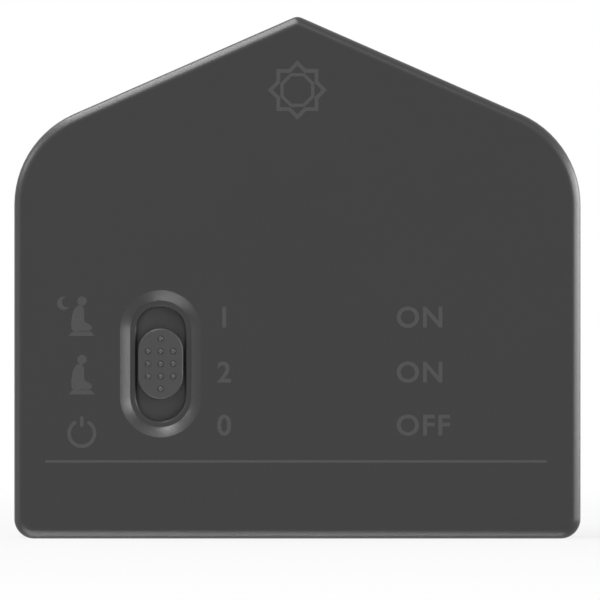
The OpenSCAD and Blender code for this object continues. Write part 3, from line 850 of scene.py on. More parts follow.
@dataclass(frozen=True)
class Oval:
    """A round-ended slot outline in any upright plane."""

    centre: Vector
    run: float
    across: Vector = X
    out: Vector = Y

    def ring(self, bm: Mesh, radius: float, level: float = 0.0) -> Ring:
        """Draws the oval.

        Args:
            bm: the mesh to draw in.
            radius: radius of the round ends.
            level: place along the out direction.

        Returns:
            The loop's edges.
        """
        pen = Pen(bm)
        for end in (1, -1):
            hub = self.centre + self.out * level + Z * (end * self.run / 2)
            pen.arc(hub + self.across * (end * radius), hub, self.across.cross(Z), math.pi)
        return pen.close()


def heading(angle: float) -> Vector:
    """A unit step in the upright plane that the covers face, counted from across to up."""
    return Vector((math.cos(angle), 0, math.sin(angle)))


def flat(place: Vector) -> Vector:
    """A place without its level along y."""
    return Vector((place.x, 0, place.z))


def rectangle(bm: Mesh, middle: Vector, half_x: float, half_z: float, level: float) -> Ring:
    """Draws a rectangle facing along y.

    Args:
        bm: the mesh to draw in.
        middle: its centre; only x and z count.
        half_x: half its width.
        half_z: half its height.
        level: place along y.

    Returns:
        The loop's edges.
    """
    hub = flat(middle) + Y * level
    corners = ((1, 1), (1, -1), (-1, -1), (-1, 1))
    return Pen(bm).points(*(hub + X * (x * half_x) + Z * (z * half_z) for x, z in corners)).close()


def circle(bm: Mesh, middle: Vector, radius: float, level: float) -> Ring:
    """Draws a circle facing along y.

    Args:
        bm: the mesh to draw in.
        middle: its centre; only x and z count.
        radius: its radius.
        level: place along y.

    Returns:
        The loop's edges.
    """
    return Oval(flat(middle), 0.0).ring(bm, radius, level)


def fill(bm: Mesh, *rings: Ring) -> None:
    """Fills a flat face inside the first ring, leaving the others as holes."""
    bmesh.ops.triangle_fill(bm, use_beauty=True, edges=[edge for ring in rings for edge in ring])


def loft(bm: Mesh, rings: Sequence[Ring]) -> None:
    """Joins each ring to the next, by a filled face where both lie in one plane and by a bridge elsewhere.

    Args:
        bm: the mesh that holds them.
        rings: the loops in order.
    """
    for ring, following in zip(rings, rings[1:]):
        places = [vert.co for edge in ring + following for vert in edge.verts]
        if min(max(part) - min(part) for part in zip(*places)) < TIE / 100:
            fill(bm, ring, following)
        else:
            bmesh.ops.bridge_loops(bm, edges=ring + following)


def raise_faces(bm: Mesh, faces: Sequence[bmesh.types.BMFace], step: Vector) -> None:
    """Extrudes flat faces by a step, to a closed slab.

    Args:
        bm: the mesh that holds them.
        faces: the flat faces.
        step: how far and where to.
    """
    raised = bmesh.ops.extrude_face_region(bm, geom=list(faces))["geom"]
    bmesh.ops.translate(bm, verts=[v for v in raised if isinstance(v, bmesh.types.BMVert)], vec=step)


def block(bm: Mesh, middle: Vector, size: Vector, bevel: float = 0.0) -> None:
    """Adds a box.

    Args:
        bm: the mesh to add to.
        middle: the box's centre.
        size: its edge lengths.
        bevel: rounding of its edges.
    """
    place = Matrix.Translation(middle) @ Matrix.Diagonal((*size, 1))
    made = bmesh.ops.create_cube(bm, size=1, matrix=place)
    if bevel:
        edges = list({edge for vert in made["verts"] for edge in vert.link_edges})
        bmesh.ops.bevel(
            bm,
            geom=edges,
            offset=bevel,
            affect="EDGES",
            segments=2,
            profile=0.5,
            material=-1,
            clamp_overlap=True,
        )


def wear(piece: bpy.types.Object, finish: Finish) -> None:
    """Gives a piece one finish.

    Args:
        piece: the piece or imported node.
        finish: what it wears.
    """
    piece.data.materials.clear()
    piece.data.materials.append(finish.material())
    LOG.info("%s wears %s", piece.name, finish.name)


def place_piece(
    name: str, bm: Mesh, finish: Finish, slot: str, body: Body, *stands_for: str
) -> None:
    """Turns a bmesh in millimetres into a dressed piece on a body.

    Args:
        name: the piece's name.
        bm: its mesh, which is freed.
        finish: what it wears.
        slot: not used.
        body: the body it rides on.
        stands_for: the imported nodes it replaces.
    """
    bmesh.ops.recalc_face_normals(bm, faces=bm.faces[:])
    bmesh.ops.scale(bm, vec=Vector((MM, MM, MM)), verts=bm.verts[:])
    for face in bm.faces:
        face.smooth = True
    mesh = bpy.data.meshes.new(name)
    bm.to_mesh(mesh)
    bm.free()
    mesh.set_sharp_from_angle(angle=SHARP_ANGLE)
    piece = bpy.data.objects.new(name, mesh)
    bpy.context.scene.collection.objects.link(piece)
    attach(piece, body.value)
    if stands_for:
        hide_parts(*stands_for)
    wear(piece, finish)
    LOG.info("%s: %d faces on %s", name, len(mesh.polygons), body.value)


@dataclass
class Well:
    """The finger well and the slot that the thumb pad slides in."""

    knob: Box
    slot_r: float = 3.395
    run: float = 9.3
    rim: float = 0.25
    ledge_w: float = 0.9
    ledge_level: float = -7.5
    step_level: float = -7.8
    bevel_w: float = 1.45
    mouth_edge: float = 0.1
    ledge_edge: float = 0.06
    rim_edge: float = 0.05

    def oval(self) -> Oval:
        """The slot's middle line."""
        return Oval(flat(self.knob.middle), self.run)

    def section(self, face: float, inside: float) -> list[tuple[float, float]]:
        """The well's section from the flat face in to the plate's inner face.

        Args:
            face: level of the flat face.
            inside: level of the plate's inner face.

        Returns:
            Radii and levels in order.
        """
        ledge_r = self.slot_r + self.ledge_w
        mouth = ledge_r + self.bevel_w
        return rounded([
            Turn(mouth + TIE, face), Turn(mouth, face, self.mouth_edge),
            Turn(ledge_r, self.step_level, self.ledge_edge),
            Turn(ledge_r, self.ledge_level, self.ledge_edge),
            Turn(self.slot_r + self.rim, self.ledge_level, self.rim_edge),
            Turn(self.slot_r, self.ledge_level + self.rim, self.rim_edge), Turn(self.slot_r, inside),
        ])


@dataclass
class BaseCover:
    """The underside: a shallow tray with rounded edges, a locating lip and the slider's well."""

    house: House
    well: Well
    port: Box
    cover: Box
    seam_level: float
    seam_gap: float = 0.3
    seam_depth: float = 0.6
    seam_edge: float = 0.1
    plate_t: float = 2.0
    lip_out: float = 1.9
    lip_in: float = 2.7
    notch: float = 0.8
    rail_x: float = 5.095
    rail_size: Vector = Vector((1.0, 1.3, 28.69))
    finish: Finish = CASE

    def build(self) -> None:
        """Models the tray as one closed skin and dresses it."""
        bm = bmesh.new()
        outside, lip_end = self.cover.low.y, self.cover.high.y
        face, inside = outside + PRINT_T, outside + self.plate_t
        edge = self.seam_level - self.seam_gap
        section = rounded([
            Turn(self.house.edge + TIE, face), Turn(0, face, self.house.edge), Turn(0, edge, self.seam_edge),
            Turn(self.seam_depth, edge), Turn(self.seam_depth, self.seam_level),
            Turn(self.lip_out, self.seam_level), Turn(self.lip_out, lip_end, self.seam_edge),
            Turn(self.lip_in, lip_end, self.seam_edge), Turn(self.lip_in, inside),
        ])
        reach = self.port.size.z / 2 + self.notch
        gate = [self.port.middle.z + side * reach for side in (1, -1)]
        breaks = [gate[0] + TIE, gate[0], gate[1], gate[1] - TIE]
        rings = [self.house.ring(bm, inset, level, breaks=breaks) for inset, level in section]
        oval = self.well.oval()
        bowl = [oval.ring(bm, radius, level) for radius, level in self.well.section(face, inside)]
        loft(bm, rings)
        loft(bm, bowl)
        fill(bm, rings[0], bowl[0])
        fill(bm, rings[-1], bowl[-1])
        self.cut_notch(bm, gate, lip_end)
        rail_y = inside + self.rail_size.y / 2
        for side in (-1, 1):
            block(bm, oval.centre + X * (side * self.rail_x) + Y * rail_y, self.rail_size, self.seam_edge)
        place_piece("base_shell", bm, self.finish, "case", Body.HOUSING, "base_cover")

    def cut_notch(self, bm: Mesh, gate: Sequence[float], lip_end: float) -> None:
        """Lowers the lip to the seam where the charging port passes.

        Args:
            bm: the tray's mesh.
            gate: the notch's top and bottom.
            lip_end: level of the lip's edge.
        """
        wall = self.house.half_width - self.lip_in - TIE
        low, high = gate[1] - TIE / 2, gate[0] + TIE / 2
        stretch = [v for v in bm.verts if v.co.x > wall and low < v.co.z < high]
        for vert in stretch:
            rise = vert.co.y - self.seam_level
            if rise > TIE:
                left = TIE * rise / (lip_end - self.seam_level)
                bmesh.ops.translate(bm, verts=[vert], vec=Y * (left - rise))


@dataclass
class TopCover:
    """The display side: a deep shell with a window pocket, sensor holes, screw bosses and the port's hole."""

    house: House
    cover: Box
    port: Box
    film: Box
    sensors: Sequence[Box]
    screws: Box
    wall_t: float = 1.8
    seam_edge: float = 0.1
    pocket_inset: float = 5.5
    pocket_r: float = 1.5
    pocket_edge: float = 0.15
    pocket_level: float = 6.75
    ceiling: float = 5.5
    frame_gap: float = 0.25
    eye_r: float = 1.6
    screw_head_r: float = 1.9
    boss_r: float = 2.25
    boss_bore: float = 1.0
    boss_end: float = 0.3
    port_gap: float = 0.15
    port_rim: float = 0.3
    port_edge: float = 0.04
    finish: Finish = CASE

    def build(self) -> None:
        """Models the shell as one closed skin and dresses it."""
        bm = bmesh.new()
        face, seam = self.cover.high.y, self.cover.low.y
        pocket = rounded([
            Turn(self.pocket_inset, self.pocket_level), Turn(self.pocket_inset, face, self.pocket_edge),
            Turn(self.pocket_inset - 4 * TIE, face),
        ])
        body = rounded([
            Turn(self.house.edge + TIE, face), Turn(0, face, self.house.edge), Turn(0, seam, self.seam_edge),
            Turn(self.wall_t, seam), Turn(self.wall_t, self.ceiling),
        ])
        rings = [self.house.ring(bm, inset, level, self.pocket_r) for inset, level in pocket]
        rings += [self.house.ring(bm, inset, level) for inset, level in body]
        upper = self.openings(bm, self.pocket_level)
        lower = self.openings(bm, self.ceiling)
        loft(bm, rings)
        fill(bm, rings[0], *upper)
        fill(bm, rings[-1], *lower)
        for pair in zip(upper, lower):
            loft(bm, pair)
        self.cut_port(bm)
        self.add_bosses(bm)
        place_piece("top_shell", bm, self.finish, "case", Body.HOUSING, "top_cover")

    def openings(self, bm: Mesh, level: float) -> list[Ring]:
        """Draws the display opening and the two sensor holes at a level.

        Args:
            bm: the mesh to draw in.
            level: place along y.

        Returns:
            The loops' edges.
        """
        half = self.film.size / 2
        frame_hole = rectangle(bm, self.film.middle, half.x + self.frame_gap, half.z + self.frame_gap, level)
        return [frame_hole] + [circle(bm, sensor.middle, self.eye_r, level) for sensor in self.sensors]

    def cut_port(self, bm: Mesh) -> None:
        """Opens the right wall for the charging port, with a small countersink.

        Args:
            bm: the shell's mesh.
        """
        outer, inner = self.house.half_width, self.house.half_width - self.wall_t
        radius = self.port.size.y / 2 + self.port_gap
        middle = Vector((0, self.port.middle.y, self.port.middle.z))
        oval = Oval(middle, self.port.size.z - self.port.size.y, Y, X)
        section = rounded([
            Turn(radius + self.port_rim + TIE, outer), Turn(radius + self.port_rim, outer, self.port_edge),
            Turn(radius, outer - self.port_rim, self.port_edge), Turn(radius, inner),
        ])
        rings = [oval.ring(bm, reach, level) for reach, level in section]
        loft(bm, rings)
        for level, ring in ((outer, rings[0]), (inner, rings[-1])):
            wall = [f for f in bm.faces if all(abs(v.co.x - level) < TIE / 2 for v in f.verts)]
            panel = max((f for f in wall if len(f.verts) == 4), key=lambda f: f.calc_area())
            border = list(panel.edges)
            bmesh.ops.delete(bm, geom=[panel], context="FACES_ONLY")
            fill(bm, border, ring)

    def add_bosses(self, bm: Mesh) -> None:
        """Adds the four screw bosses under the ceiling, at the corners of the screws' box.

        Args:
            bm: the shell's mesh.
        """
        section = [
            (self.boss_r, self.ceiling), (self.boss_r, self.boss_end), (self.boss_bore, self.boss_end),
            (self.boss_bore, self.ceiling), (self.boss_r, self.ceiling),
        ]
        half = self.screws.size / 2 - (X + Z) * self.screw_head_r
        for x, z in ((1, 1), (1, -1), (-1, -1), (-1, 1)):
            axis = self.screws.middle + X * (x * half.x) + Z * (z * half.z)
            loft(bm, [circle(bm, axis, radius, level) for radius, level in section])
        bmesh.ops.remove_doubles(bm, verts=bm.verts[:], dist=TIE / 100)


@dataclass
class ThumbSlider:
    """The thumb pad with its grip bumps, its hidden flange and the pocket for the switch's stem."""

    knob: Box
    pad_r: float = 3.225
    pad_run: float = 3.6
    pad_level: float = -8.1
    pad_edge: float = 0.3
    flange_t: float = 0.8
    socket_half: Vector = Vector((1.05, 0, 1.25))
    socket_level: float = -7.1
    bumps: Lozenge = Lozenge()
    bump_d: float = 0.7
    bump_h: float = 0.15
    bump_steps: int = 24
    finish: Grip = GRIP

    def build(self) -> None:
        """Models the slider and dresses it."""
        bm = bmesh.new()
        middle = self.knob.middle
        under, shoulder = self.knob.high.y, self.knob.high.y - self.flange_t
        pad = rounded([
            Turn(self.pad_r, shoulder), Turn(self.pad_r, self.pad_level, self.pad_edge),
            Turn(self.pad_r - self.pad_edge - TIE, self.pad_level),
        ])
        oval = Oval(flat(middle), self.pad_run)
        rings = [oval.ring(bm, radius, level) for radius, level in pad]
        half, hole = self.knob.size / 2, self.socket_half
        plate = [rectangle(bm, middle, half.x, half.z, level) for level in (shoulder, under)]
        pocket = [rectangle(bm, middle, hole.x, hole.z, level) for level in (under, self.socket_level)]
        for wall in (rings, plate, pocket):
            loft(bm, wall)
        fill(bm, rings[-1])
        fill(bm, plate[0], rings[0])
        fill(bm, plate[1], pocket[0])
        fill(bm, pocket[1])
        self.add_bumps(bm)
        grip = replace(self.finish, middle=middle, bumps=self.bumps)
        place_piece("thumb_slider", bm, grip, "slider", Body.SLIDER, "slider_knob")

    def add_bumps(self, bm: Mesh) -> None:
        """Adds the lozenge of grip bumps, each a cap of a sphere sunk into the pad.

        Args:
            bm: the slider's mesh.
        """
        radius = ((self.bump_d / 2) ** 2 + self.bump_h ** 2) / (2 * self.bump_h)
        hub = flat(self.knob.middle) + Y * (self.pad_level - self.bump_h + radius)
        for step in self.bumps.steps():
            verts = bmesh.ops.create_uvsphere(
                bm,
                u_segments=self.bump_steps,
                v_segments=self.bump_steps,
                radius=radius,
                matrix=Matrix.Translation(hub + step),
            )["verts"]
            edges = {edge for vert in verts for edge in vert.link_edges}
            faces = {face for vert in verts for face in vert.link_faces}
            cut = bmesh.ops.bisect_plane(
                bm,
                geom=verts + list(edges | faces),
                plane_co=Y * (self.pad_level + TIE),
                plane_no=Y,
                clear_outer=True,
            )
            rim = [edge for edge in cut["geom_cut"] if isinstance(edge, bmesh.types.BMEdge)]
            bmesh.ops.contextual_create(bm, geom=rim)


class Segment(Enum):
    """A digit's bars, seen from the display side: steps across and up from its middle, and if upright."""

    TOP = (0.0, 1.0, False)
    MIDDLE = (0.0, 0.0, False)
    BOTTOM = (0.0, -1.0, False)
    UPPER_LEFT = (-0.5, 0.5, True)
    UPPER_RIGHT = (0.5, 0.5, True)
    LOWER_LEFT = (-0.5, -0.5, True)
    LOWER_RIGHT = (0.5, -0.5, True)


ZERO = set(Segment) - {Segment.MIDDLE}
TWO = {Segment.TOP, Segment.UPPER_RIGHT, Segment.MIDDLE, Segment.LOWER_LEFT, Segment.BOTTOM}


@dataclass
class Display:
    """The polished window and the two digits that shine through it, left and right as seen from that side."""

    house: House
    lens: Box
    film: Box
    sensors: Sequence[Box]
    inset: float = 5.6
    corner_r: float = 1.5
    edge: float = 0.2
    digit_pitch: float = 13.0
    bar_pitch: float = 6.0
    bar_cut: float = 0.9
    bar_w: float = 1.5
    bar_t: float = 0.08
    shown: tuple[set[Segment], set[Segment]] = (ZERO, TWO)
    lit: Finish = Glow("lit_bar", (0.75, 0.95, 1.0), 5.0)
    dark: Finish = Glow("dark_bar", (0.3, 0.3, 0.32), 0.02)

    def build(self) -> None:
        """Models and dresses the window, the lit bars and the dark bars."""
        bm = bmesh.new()
        back, front = self.lens.low.y, self.lens.high.y
        section = rounded([
            Turn(self.inset, back), Turn(self.inset, front, self.edge),
            Turn(self.inset + self.edge + TIE, front),
        ])
        rings = [self.house.ring(bm, inset, level, self.corner_r) for inset, level in section]
        loft(bm, rings)
        fill(bm, rings[0])
        fill(bm, rings[-1])
        smoke = Smoke("smoked_plastic", self.film, self.sensors)
        place_piece("smoked_window", bm, smoke, "window", Body.HOUSING, "display_lens")
        self.add_bars("lit_bars", self.shown, self.lit)
        self.add_bars("dark_bars", [set(Segment) - bars for bars in self.shown], self.dark)

    def add_bars(self, name: str, digits: Sequence[set[Segment]], finish: Finish) -> None:
        """Models and dresses bars of the two digits.

        Args:
            name: the piece's name.
            digits: the bars of the left and the right digit.
            finish: what the bars wear.
        """
        bm = bmesh.new()
        for side, bars in zip((-1, 1), digits):
            for bar in sorted(bars, key=lambda s: s.name):
                self.draw_bar(bm, side, bar)
        raise_faces(bm, bm.faces[:], Y * self.bar_t)
        place_piece(name, bm, finish, "lamp", Body.HOUSING)

    def draw_bar(self, bm: Mesh, side: int, bar: Segment) -> None:
        """Draws one six-sided bar in front of the film.

        Args:
            bm: the mesh to draw in.
            side: -1 for the left digit and 1 for the right one.
            bar: which bar.
        """
        across, up, upright = bar.value
        middle = flat(self.film.middle) + Y * (self.film.high.y + TIE / 2)
        middle += Z * (up * self.bar_pitch) - X * (side * self.digit_pitch / 2 + across * self.bar_pitch)
        length, width = (Z, X) if upright else (X, Z)
        half_l, half_w = (self.bar_pitch - self.bar_cut) / 2, self.bar_w / 2
        tip = half_l - half_w
        corners = ((-half_l, 0), (-tip, half_w), (tip, half_w), (half_l, 0), (tip, -half_w), (-tip, -half_w))
        fill(bm, Pen(bm).points(*(middle + length * a + width * b for a, b in corners)).close())


@dataclass
class ChargingPort:
    """The charging port's shell and tongue, and the contacts on the tongue."""

    tongue: Box
    count: int = 12
    pitch: float = 0.5
    width: float = 0.26
    thick: float = 0.03
    length: float = 3.6
    tip: float = 0.5
    blade_t: float = 0.7
    shell: Finish = Plating("plated_steel", (0.62, 0.63, 0.65))
    blade: Finish = BLACK
    gold: Finish = Plating("gold_contact", (0.83, 0.62, 0.28), 0.22)

    def build(self) -> None:
        """Dresses the port and models two rows of contacts, one on each face of the tongue."""
        wear(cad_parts["charging_socket"], self.shell)
        wear(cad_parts["charging_tongue"], self.blade)
        bm = bmesh.new()
        middle = self.tongue.middle
        x = self.tongue.high.x - self.tip - self.length / 2
        for face in (-1, 1):
            y = middle.y + face * (self.blade_t + self.thick) / 2
            for i in range(self.count):
                z = middle.z + (i - (self.count - 1) / 2) * self.pitch
                block(bm, Vector((x, y, z)), Vector((self.length, self.thick, self.width)))
        place_piece("tongue_contacts", bm, self.gold, "contact_metal", Body.HOUSING)


@dataclass(frozen=True)
class Sheet:
    """The photograph's scale on the underside, to place printed signs by where they stand in it."""

    centre_px: float = 297.4
    foot_px: float = 538.9
    mm_per_px: float = 0.14107

    def spot(self, across_px: float, down_px: float) -> Vector:
        """A place on the underside, in millimetres, from a pixel."""
        return (X * (across_px - self.centre_px) + Z * (self.foot_px - down_px)) * self.mm_per_px


@dataclass
class Signs:
    """The underside's print: pictograms and a power sign by the slider, a star, numbers, words and a rule."""

    face: float
    sheet: Sheet = Sheet()
    finish: Finish = INK
    stroke: float = 0.52
    letter_h: float = 2.95
    letter_scale: float = 1.38
    letter_bold: float = 0.03
    letter_gap: float = 1.12
    rows_px: tuple[float, float, float] = (316.5, 371.5, 424.5)
    numbers: tuple[str, str, str] = ("1", "2", "0")
    numbers_px: float = 217.0
    words: tuple[str, str, str] = ("ON", "ON", "OFF")
    words_px: float = 396.0
    figure_px: float = 82.0
    night_foot_px: float = 336.0
    day_foot_px: float = 394.5
    head_z: float = 4.94
    head_r: float = 0.66
    power_px: tuple[float, float] = (81.8, 433.4)
    power_r: float = 1.8
    power_gap: float = math.radians(34)
    power_bar: float = 1.55
    power_bar_z: float = 1.68
    moon_px: tuple[float, float] = (63.8, 303.2)
    moon_r: float = 0.95
    moon_bite: float = 0.48
    moon_turn: float = math.radians(20)
    moon_spread: float = math.radians(48)
    rule_px: tuple[float, float, float] = (45.0, 547.0, 461.4)
    rule_w: float = 0.4
    star_px: tuple[float, float] = (297.4, 90.0)
    star_points: int = 8
    star_r: float = 4.2
    star_stroke: float = 0.78
    octagon_r: float = 2.6
    mat: tuple[tuple[float, float], ...] = ((-1.95, 0), (1.8, 0), (1.3, 0.62), (-1.35, 0.62))
    robe: tuple[tuple[float, float], ...] = (
        (-0.52, 4.3), (-1.18, 3.55), (-1.45, 2.5), (-1.5, 1.3), (-1.32, 0.76), (0.0, 0.72), (1.15, 0.78),
        (1.4, 1.15), (1.0, 1.66), (0.46, 1.98), (0.3, 2.5), (0.32, 3.4), (0.04, 4.2),
    )

    def build(self) -> None:
        """Models and dresses every sign."""
        drawings = {
            "night_sign": self.draw_night,
            "day_sign": partial(self.draw_figure, foot_px=self.day_foot_px),
            "power_sign": self.draw_power,
            "rule_line": self.draw_rule,
            "star_ornament": self.draw_star,
            "row_numbers": partial(self.write, left_px=self.numbers_px, words=self.numbers),
            "row_words": partial(self.write, left_px=self.words_px, words=self.words),
        }
        for name, draw in drawings.items():
            bm = bmesh.new()
            draw(bm)
            bmesh.ops.remove_doubles(bm, verts=bm.verts[:], dist=TIE / 100)
            bmesh.ops.recalc_face_normals(bm, faces=bm.faces[:])
            raise_faces(bm, bm.faces[:], -Y * PRINT_T)
            place_piece(name, bm, self.finish, "case", Body.HOUSING)

    def spot(self, across_px: float, down_px: float) -> Vector:
        """A place on the cover's face from a pixel."""
        return self.sheet.spot(across_px, down_px) + Y * self.face

    def draw_figure(self, bm: Mesh, foot_px: float) -> None:
        """Draws a plain kneeling figure on its mat.

        Args:
            bm: the mesh to draw in.
            foot_px: the mat's lower edge in the photograph.
        """
        spot = self.spot(self.figure_px, foot_px)
        fill(bm, Oval(spot + Z * self.head_z, 0.0).ring(bm, self.head_r))
        fill(bm, Pen(bm).points(*(spot + X * x + Z * z for x, z in self.mat)).close())
        robe = bpy.data.curves.new("robe", "CURVE")
        robe.dimensions = "2D"
        robe.fill_mode = "BOTH"
        spline = robe.splines.new("BEZIER")
        spline.bezier_points.add(len(self.robe) - 1)
        spline.use_cyclic_u = True
        for knot, (x, z) in zip(spline.bezier_points, self.robe):
            knot.co = (x, z, 0)
            knot.handle_left_type = knot.handle_right_type = "AUTO"
        flatten(bm, robe, spot)

    def draw_night(self, bm: Mesh) -> None:
        """Draws the figure under a crescent.

        Args:
            bm: the mesh to draw in.
        """
        self.draw_figure(bm, self.night_foot_px)
        spot = self.spot(*self.moon_px)
        tips = [spot + heading(self.moon_turn + s * self.moon_spread) * self.moon_r for s in (1, -1)]
        hub = spot + heading(self.moon_turn) * self.moon_bite
        bite = (tips[0] - hub).angle(tips[1] - hub)
        moon = Pen(bm).arc(tips[0], spot, -Y, 2 * (math.pi - self.moon_spread))
        fill(bm, moon.arc(tips[1], hub, Y, 2 * math.pi - bite).close())

    def draw_power(self, bm: Mesh) -> None:
        """Draws the power sign: an open ring and a bar, both with round ends.

        Args:
            bm: the mesh to draw in.
        """
        spot, half = self.spot(*self.power_px), self.stroke / 2
        first, last = (heading(math.pi / 2 + side * self.power_gap) for side in (1, -1))
        sweep = 2 * (math.pi - self.power_gap)
        outer, inner = self.power_r + half, self.power_r - half
        ring = Pen(bm).arc(spot + first * outer, spot, -Y, sweep)
        ring.arc(spot + last * outer, spot + last * self.power_r, -Y, math.pi)
        ring.arc(spot + last * inner, spot, Y, sweep)
        ring.arc(spot + first * inner, spot + first * self.power_r, -Y, math.pi)
        fill(bm, ring.close())
        fill(bm, Oval(spot + Z * self.power_bar_z, self.power_bar - self.stroke).ring(bm, half))

    def draw_rule(self, bm: Mesh) -> None:
        """Draws the rule across the lower part."""
        left, right = (self.spot(x, self.rule_px[2]) for x in self.rule_px[:2])
        fill(bm, rectangle(bm, (left + right) / 2, (right.x - left.x) / 2, self.rule_w / 2, self.face))

    def draw_star(self, bm: Mesh) -> None:
        """Draws an outlined eight-pointed star round an octagon.

        Args:
            bm: the mesh to draw in.
        """
        spot, step = self.spot(*self.star_px), math.pi / self.star_points
        dip = math.cos(2 * step) / math.cos(step)
        spokes = [heading(k * step) for k in range(2 * self.star_points)]
        star = [spoke * (dip if k % 2 else 1) for k, spoke in enumerate(spokes)]
        shapes = ((star, self.star_r, self.star_stroke), (spokes[1::2], self.octagon_r, self.stroke))
        for corners, radius, stroke in shapes:
            reaches = (radius, radius - stroke)
            loft(bm, [Pen(bm).points(*(spot + c * r for c in corners)).close() for r in reaches])

    def write(self, bm: Mesh, left_px: float, words: Sequence[str]) -> None:
        """Writes one word in each of the slider's rows.

        Args:
            bm: the mesh to draw in.
            left_px: the words' left edge in the photograph.
            words: the words, from the top row down.
        """
        for row_px, word in zip(self.rows_px, words):
            text = bpy.data.curves.new("row_text", "FONT")
            text.body = word
            text.size = self.letter_scale * self.letter_h
            text.offset = self.letter_bold * self.letter_h
            text.space_character = self.letter_gap
            flatten(bm, text, self.spot(left_px, row_px) - Z * (self.letter_h / 2))


def flatten(bm: Mesh, curve: bpy.types.Curve, place: Vector) -> None:
    """Adds a filled flat curve or text to a mesh, facing the underside.

    Args:
        bm: the mesh to add to.
        curve: the curve or text, drawn in millimetres.
        place: where its origin goes.
    """
    holder = bpy.data.objects.new(curve.name, curve)
    bpy.context.scene.collection.objects.link(holder)
    drawn = bpy.data.meshes.new_from_object(holder.evaluated_get(bpy.context.evaluated_depsgraph_get()))
    bpy.data.objects.remove(holder)
    drawn.transform(Matrix.Translation(place) @ Matrix.Rotation(math.pi / 2, 4, "X"))
    bm.from_mesh(drawn)
    bpy.data.meshes.remove(drawn)


@dataclass(frozen=True)
class Kit:
    """A sub-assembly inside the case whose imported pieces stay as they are, each with its finish."""

    finishes: Mapping[str, Finish]

    def build(self) -> None:
        """Dresses each piece."""
        for node, finish in self.finishes.items():
            wear(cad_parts[node], finish)


BRIGHT = Plating("bright_steel", (0.55, 0.56, 0.58), 0.34, (1, 1, 0.05))
WASH = Plating("contact_wash", (0.66, 0.56, 0.38), 0.25)
NYLON = Moulding("natural_nylon", (0.78, 0.76, 0.68), 0.4, 3.0)
EPOXY = Moulding("chip_epoxy", (0.02, 0.02, 0.021), 0.6, 8.0)
OPTICS = Kit({
    "display_frame": Moulding("white_guide", (0.8, 0.79, 0.75), 0.4, 3.0),
    "display_film": Grained("diffuser_film", (0.03, 0.029, 0.03), 0.4, 3.0, 0.002),
    "display_lamps": Resin("lamp_resin", (0.75, 0.6, 0.45), 0.25),
    "lens_tape": Grained("black_tape", (0.008, 0.008, 0.008), 0.6, 2.0, 0.01),
    "sensor_shroud": Grained("shroud_rubber", (0.012, 0.012, 0.012), 0.75, 5.0, 0.01),
    "infrared_emitter": Resin("clear_epoxy", (0.55, 0.57, 0.66), 0.13, coat=0.6),
    "infrared_receiver": Resin("dark_epoxy", (0.012, 0.01, 0.014), 0.13, coat=0.6),
})
BOARD = Kit({
    "main_board": SolderMask("solder_mask"),
    "board_screws": BRIGHT,
    "controller_chip": EPOXY,
    "charger_chip": EPOXY,
    "chip_resistors": EPOXY,
    "chip_capacitors": Moulding("capacitor_ceramic", (0.42, 0.29, 0.16), 0.5, 4.0),
})
SWITCH = Kit({
    "switch_frame": BRIGHT,
    "switch_base": Grained("phenolic_laminate", (0.2, 0.085, 0.03), 0.5, 2.0, 0.008),
    "switch_pins": WASH,
    "switch_block": BLACK,
    "switch_contact": WASH,
})
BATTERY = Kit({
    "battery_pouch": Grained("pouch_foil", (0.55, 0.56, 0.58), 0.32, 0.6, 0.05, metallic=1.0),
    "battery_pad": Foam("closed_foam", (0.7, 0.68, 0.6), 0.85, 1.6, 0.08),
    "battery_lead_red": Grained("red_insulation", (0.45, 0.02, 0.015), 0.45, 4.0, 0.004),
    "battery_lead_black": Grained("black_insulation", (0.012, 0.012, 0.012), 0.45, 4.0, 0.004),
    "battery_plug": NYLON,
    "battery_socket": NYLON,
})


@dataclass(frozen=True)
class Lamp:
    """A soft lamp: its place and size in metres, its power, and whether it shines up through the floor."""

    name: str
    place: Vector
    length: float
    breadth: float
    watts: float
    aim: Vector = Vector((0, 0, 0.037))
    below: bool = False

    def hang(self) -> None:
        """Hangs the lamp, turned to its aim."""
        light = bpy.data.lights.new(self.name, "AREA")
        light.energy = self.watts
        light.shape = "RECTANGLE"
        light.size, light.size_y = self.length, self.breadth
        light.cycles.use_multiple_importance_sampling = not self.below
        holder = bpy.data.objects.new(self.name, light)
        holder.location = self.place
        holder.rotation_euler = (self.aim - self.place).to_track_quat("-Z", "Y").to_euler()
        holder.visible_camera = False
        bpy.context.scene.collection.objects.link(holder)


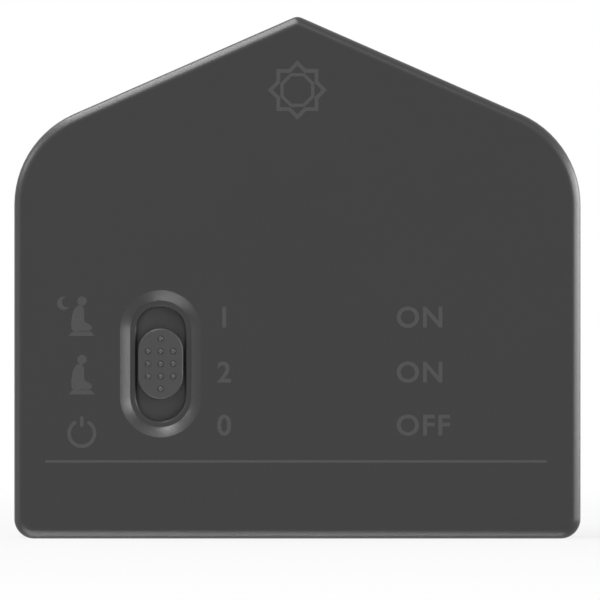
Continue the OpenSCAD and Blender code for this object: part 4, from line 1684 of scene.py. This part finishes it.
@dataclass
class Studio:
    """The pale floor, the white surroundings, the lamps and the camera."""

    underside: float
    sheet: Sheet = Sheet()
    view_px: float = 600.0
    distance: float = 1.0
    sensor: float = 36.0
    ambient: float = 0.12
    floor_half: float = 2.5
    floor: Finish = PaleFloor("pale_floor")
    lamps: tuple[Lamp, ...] = (
        Lamp("top_bank", Vector((-0.2235, -0.0627, 0.5903)), 0.7, 0.16, 4.2),
        Lamp("top_middle_bank", Vector((-0.1947, -0.3, 0.5188)), 0.3, 0.16, 0.9),
        Lamp("top_front_bank", Vector((-0.0376, -0.4168, 0.467)), 0.5, 0.2, 0.7),
        Lamp("upper_left_bank", Vector((-0.5217, -0.1042, 0.3144)), 0.4, 0.16, 1.4),
        Lamp("right_bank", Vector((0.5494, -0.0488, 0.1339)), 0.9, 0.24, 6.9),
        Lamp("floor_bounce", Vector((-0.111, -0.203, -0.406)), 0.36, 0.6, 2.7, below=True),
        Lamp("left_bounce", Vector((-0.5324, -0.1331, -0.0002)), 0.15, 0.2, 0.2, below=True),
    )

    def build(self) -> None:
        """Sets up everything round the object."""
        bpy.context.scene.view_settings.view_transform = "Standard"
        self.light_world()
        self.lay_floor()
        for lamp in self.lamps:
            lamp.hang()
        self.set_camera()

    def light_world(self) -> None:
        """Makes surroundings that look white and light the object softly."""
        world = bpy.data.worlds.new("white_room")
        bpy.context.scene.world = world
        world.use_nodes = True
        bench = Bench(world.node_tree)
        strength = self.ambient + bench.seen() * (1 - self.ambient)
        light = bench.add("ShaderNodeBackground", None, {"Color": rgba(WHITE), "Strength": strength})
        bench.add("ShaderNodeOutputWorld", None, {"Surface": light})

    def lay_floor(self) -> None:
        """Lays the floor; lamps under it shine through, as a pale table throws light back."""
        bm = bmesh.new()
        bmesh.ops.create_grid(bm, x_segments=1, y_segments=1, size=self.floor_half)
        mesh = bpy.data.meshes.new("floor")
        bm.to_mesh(mesh)
        bm.free()
        floor = bpy.data.objects.new("floor", mesh)
        bpy.context.scene.collection.objects.link(floor)
        floor.visible_shadow = False
        wear(floor, self.floor)

    def set_camera(self) -> None:
        """Sets the camera straight in front of the underside, with a long lens."""
        camera = bpy.data.cameras.new("camera")
        camera.sensor_width = self.sensor
        camera.lens = self.sensor * self.distance / (self.view_px * self.sheet.mm_per_px * MM)
        holder = bpy.data.objects.new("camera", camera)
        spot = self.sheet.spot(self.view_px / 2, self.view_px / 2) * MM
        holder.location = (spot.x, self.underside * MM - self.distance, spot.z)
        holder.rotation_euler = (math.pi / 2, 0, 0)
        bpy.context.scene.collection.objects.link(holder)
        bpy.context.scene.camera = holder


def main() -> None:
    """Builds the counter's looks and its studio in order."""
    logging.basicConfig(level=logging.INFO, format="%(name)s: %(message)s")
    low, high = (corner / MM for corner in CAD_BOX)
    house = House((high.x - low.x) / 2, high.z - low.z)
    base, top, knob = (Box.of(node) for node in ("base_cover", "top_cover", "slider_knob"))
    port, film, screws = (Box.of(node) for node in ("charging_socket", "display_film", "board_screws"))
    sensors = [Box.of("infrared_emitter"), Box.of("infrared_receiver")]
    parts = [
        BaseCover(house, Well(knob), port, base, top.low.y),
        TopCover(house, top, port, film, sensors, screws),
        ThumbSlider(knob),
        Display(house, Box.of("display_lens"), film, sensors),
        ChargingPort(Box.of("charging_tongue")),
        Signs(low.y + PRINT_T),
        OPTICS,
        BOARD,
        SWITCH,
        BATTERY,
        Studio(low.y),
    ]
    for part in parts:
        part.build()


if __name__ == "__main__":
    main()
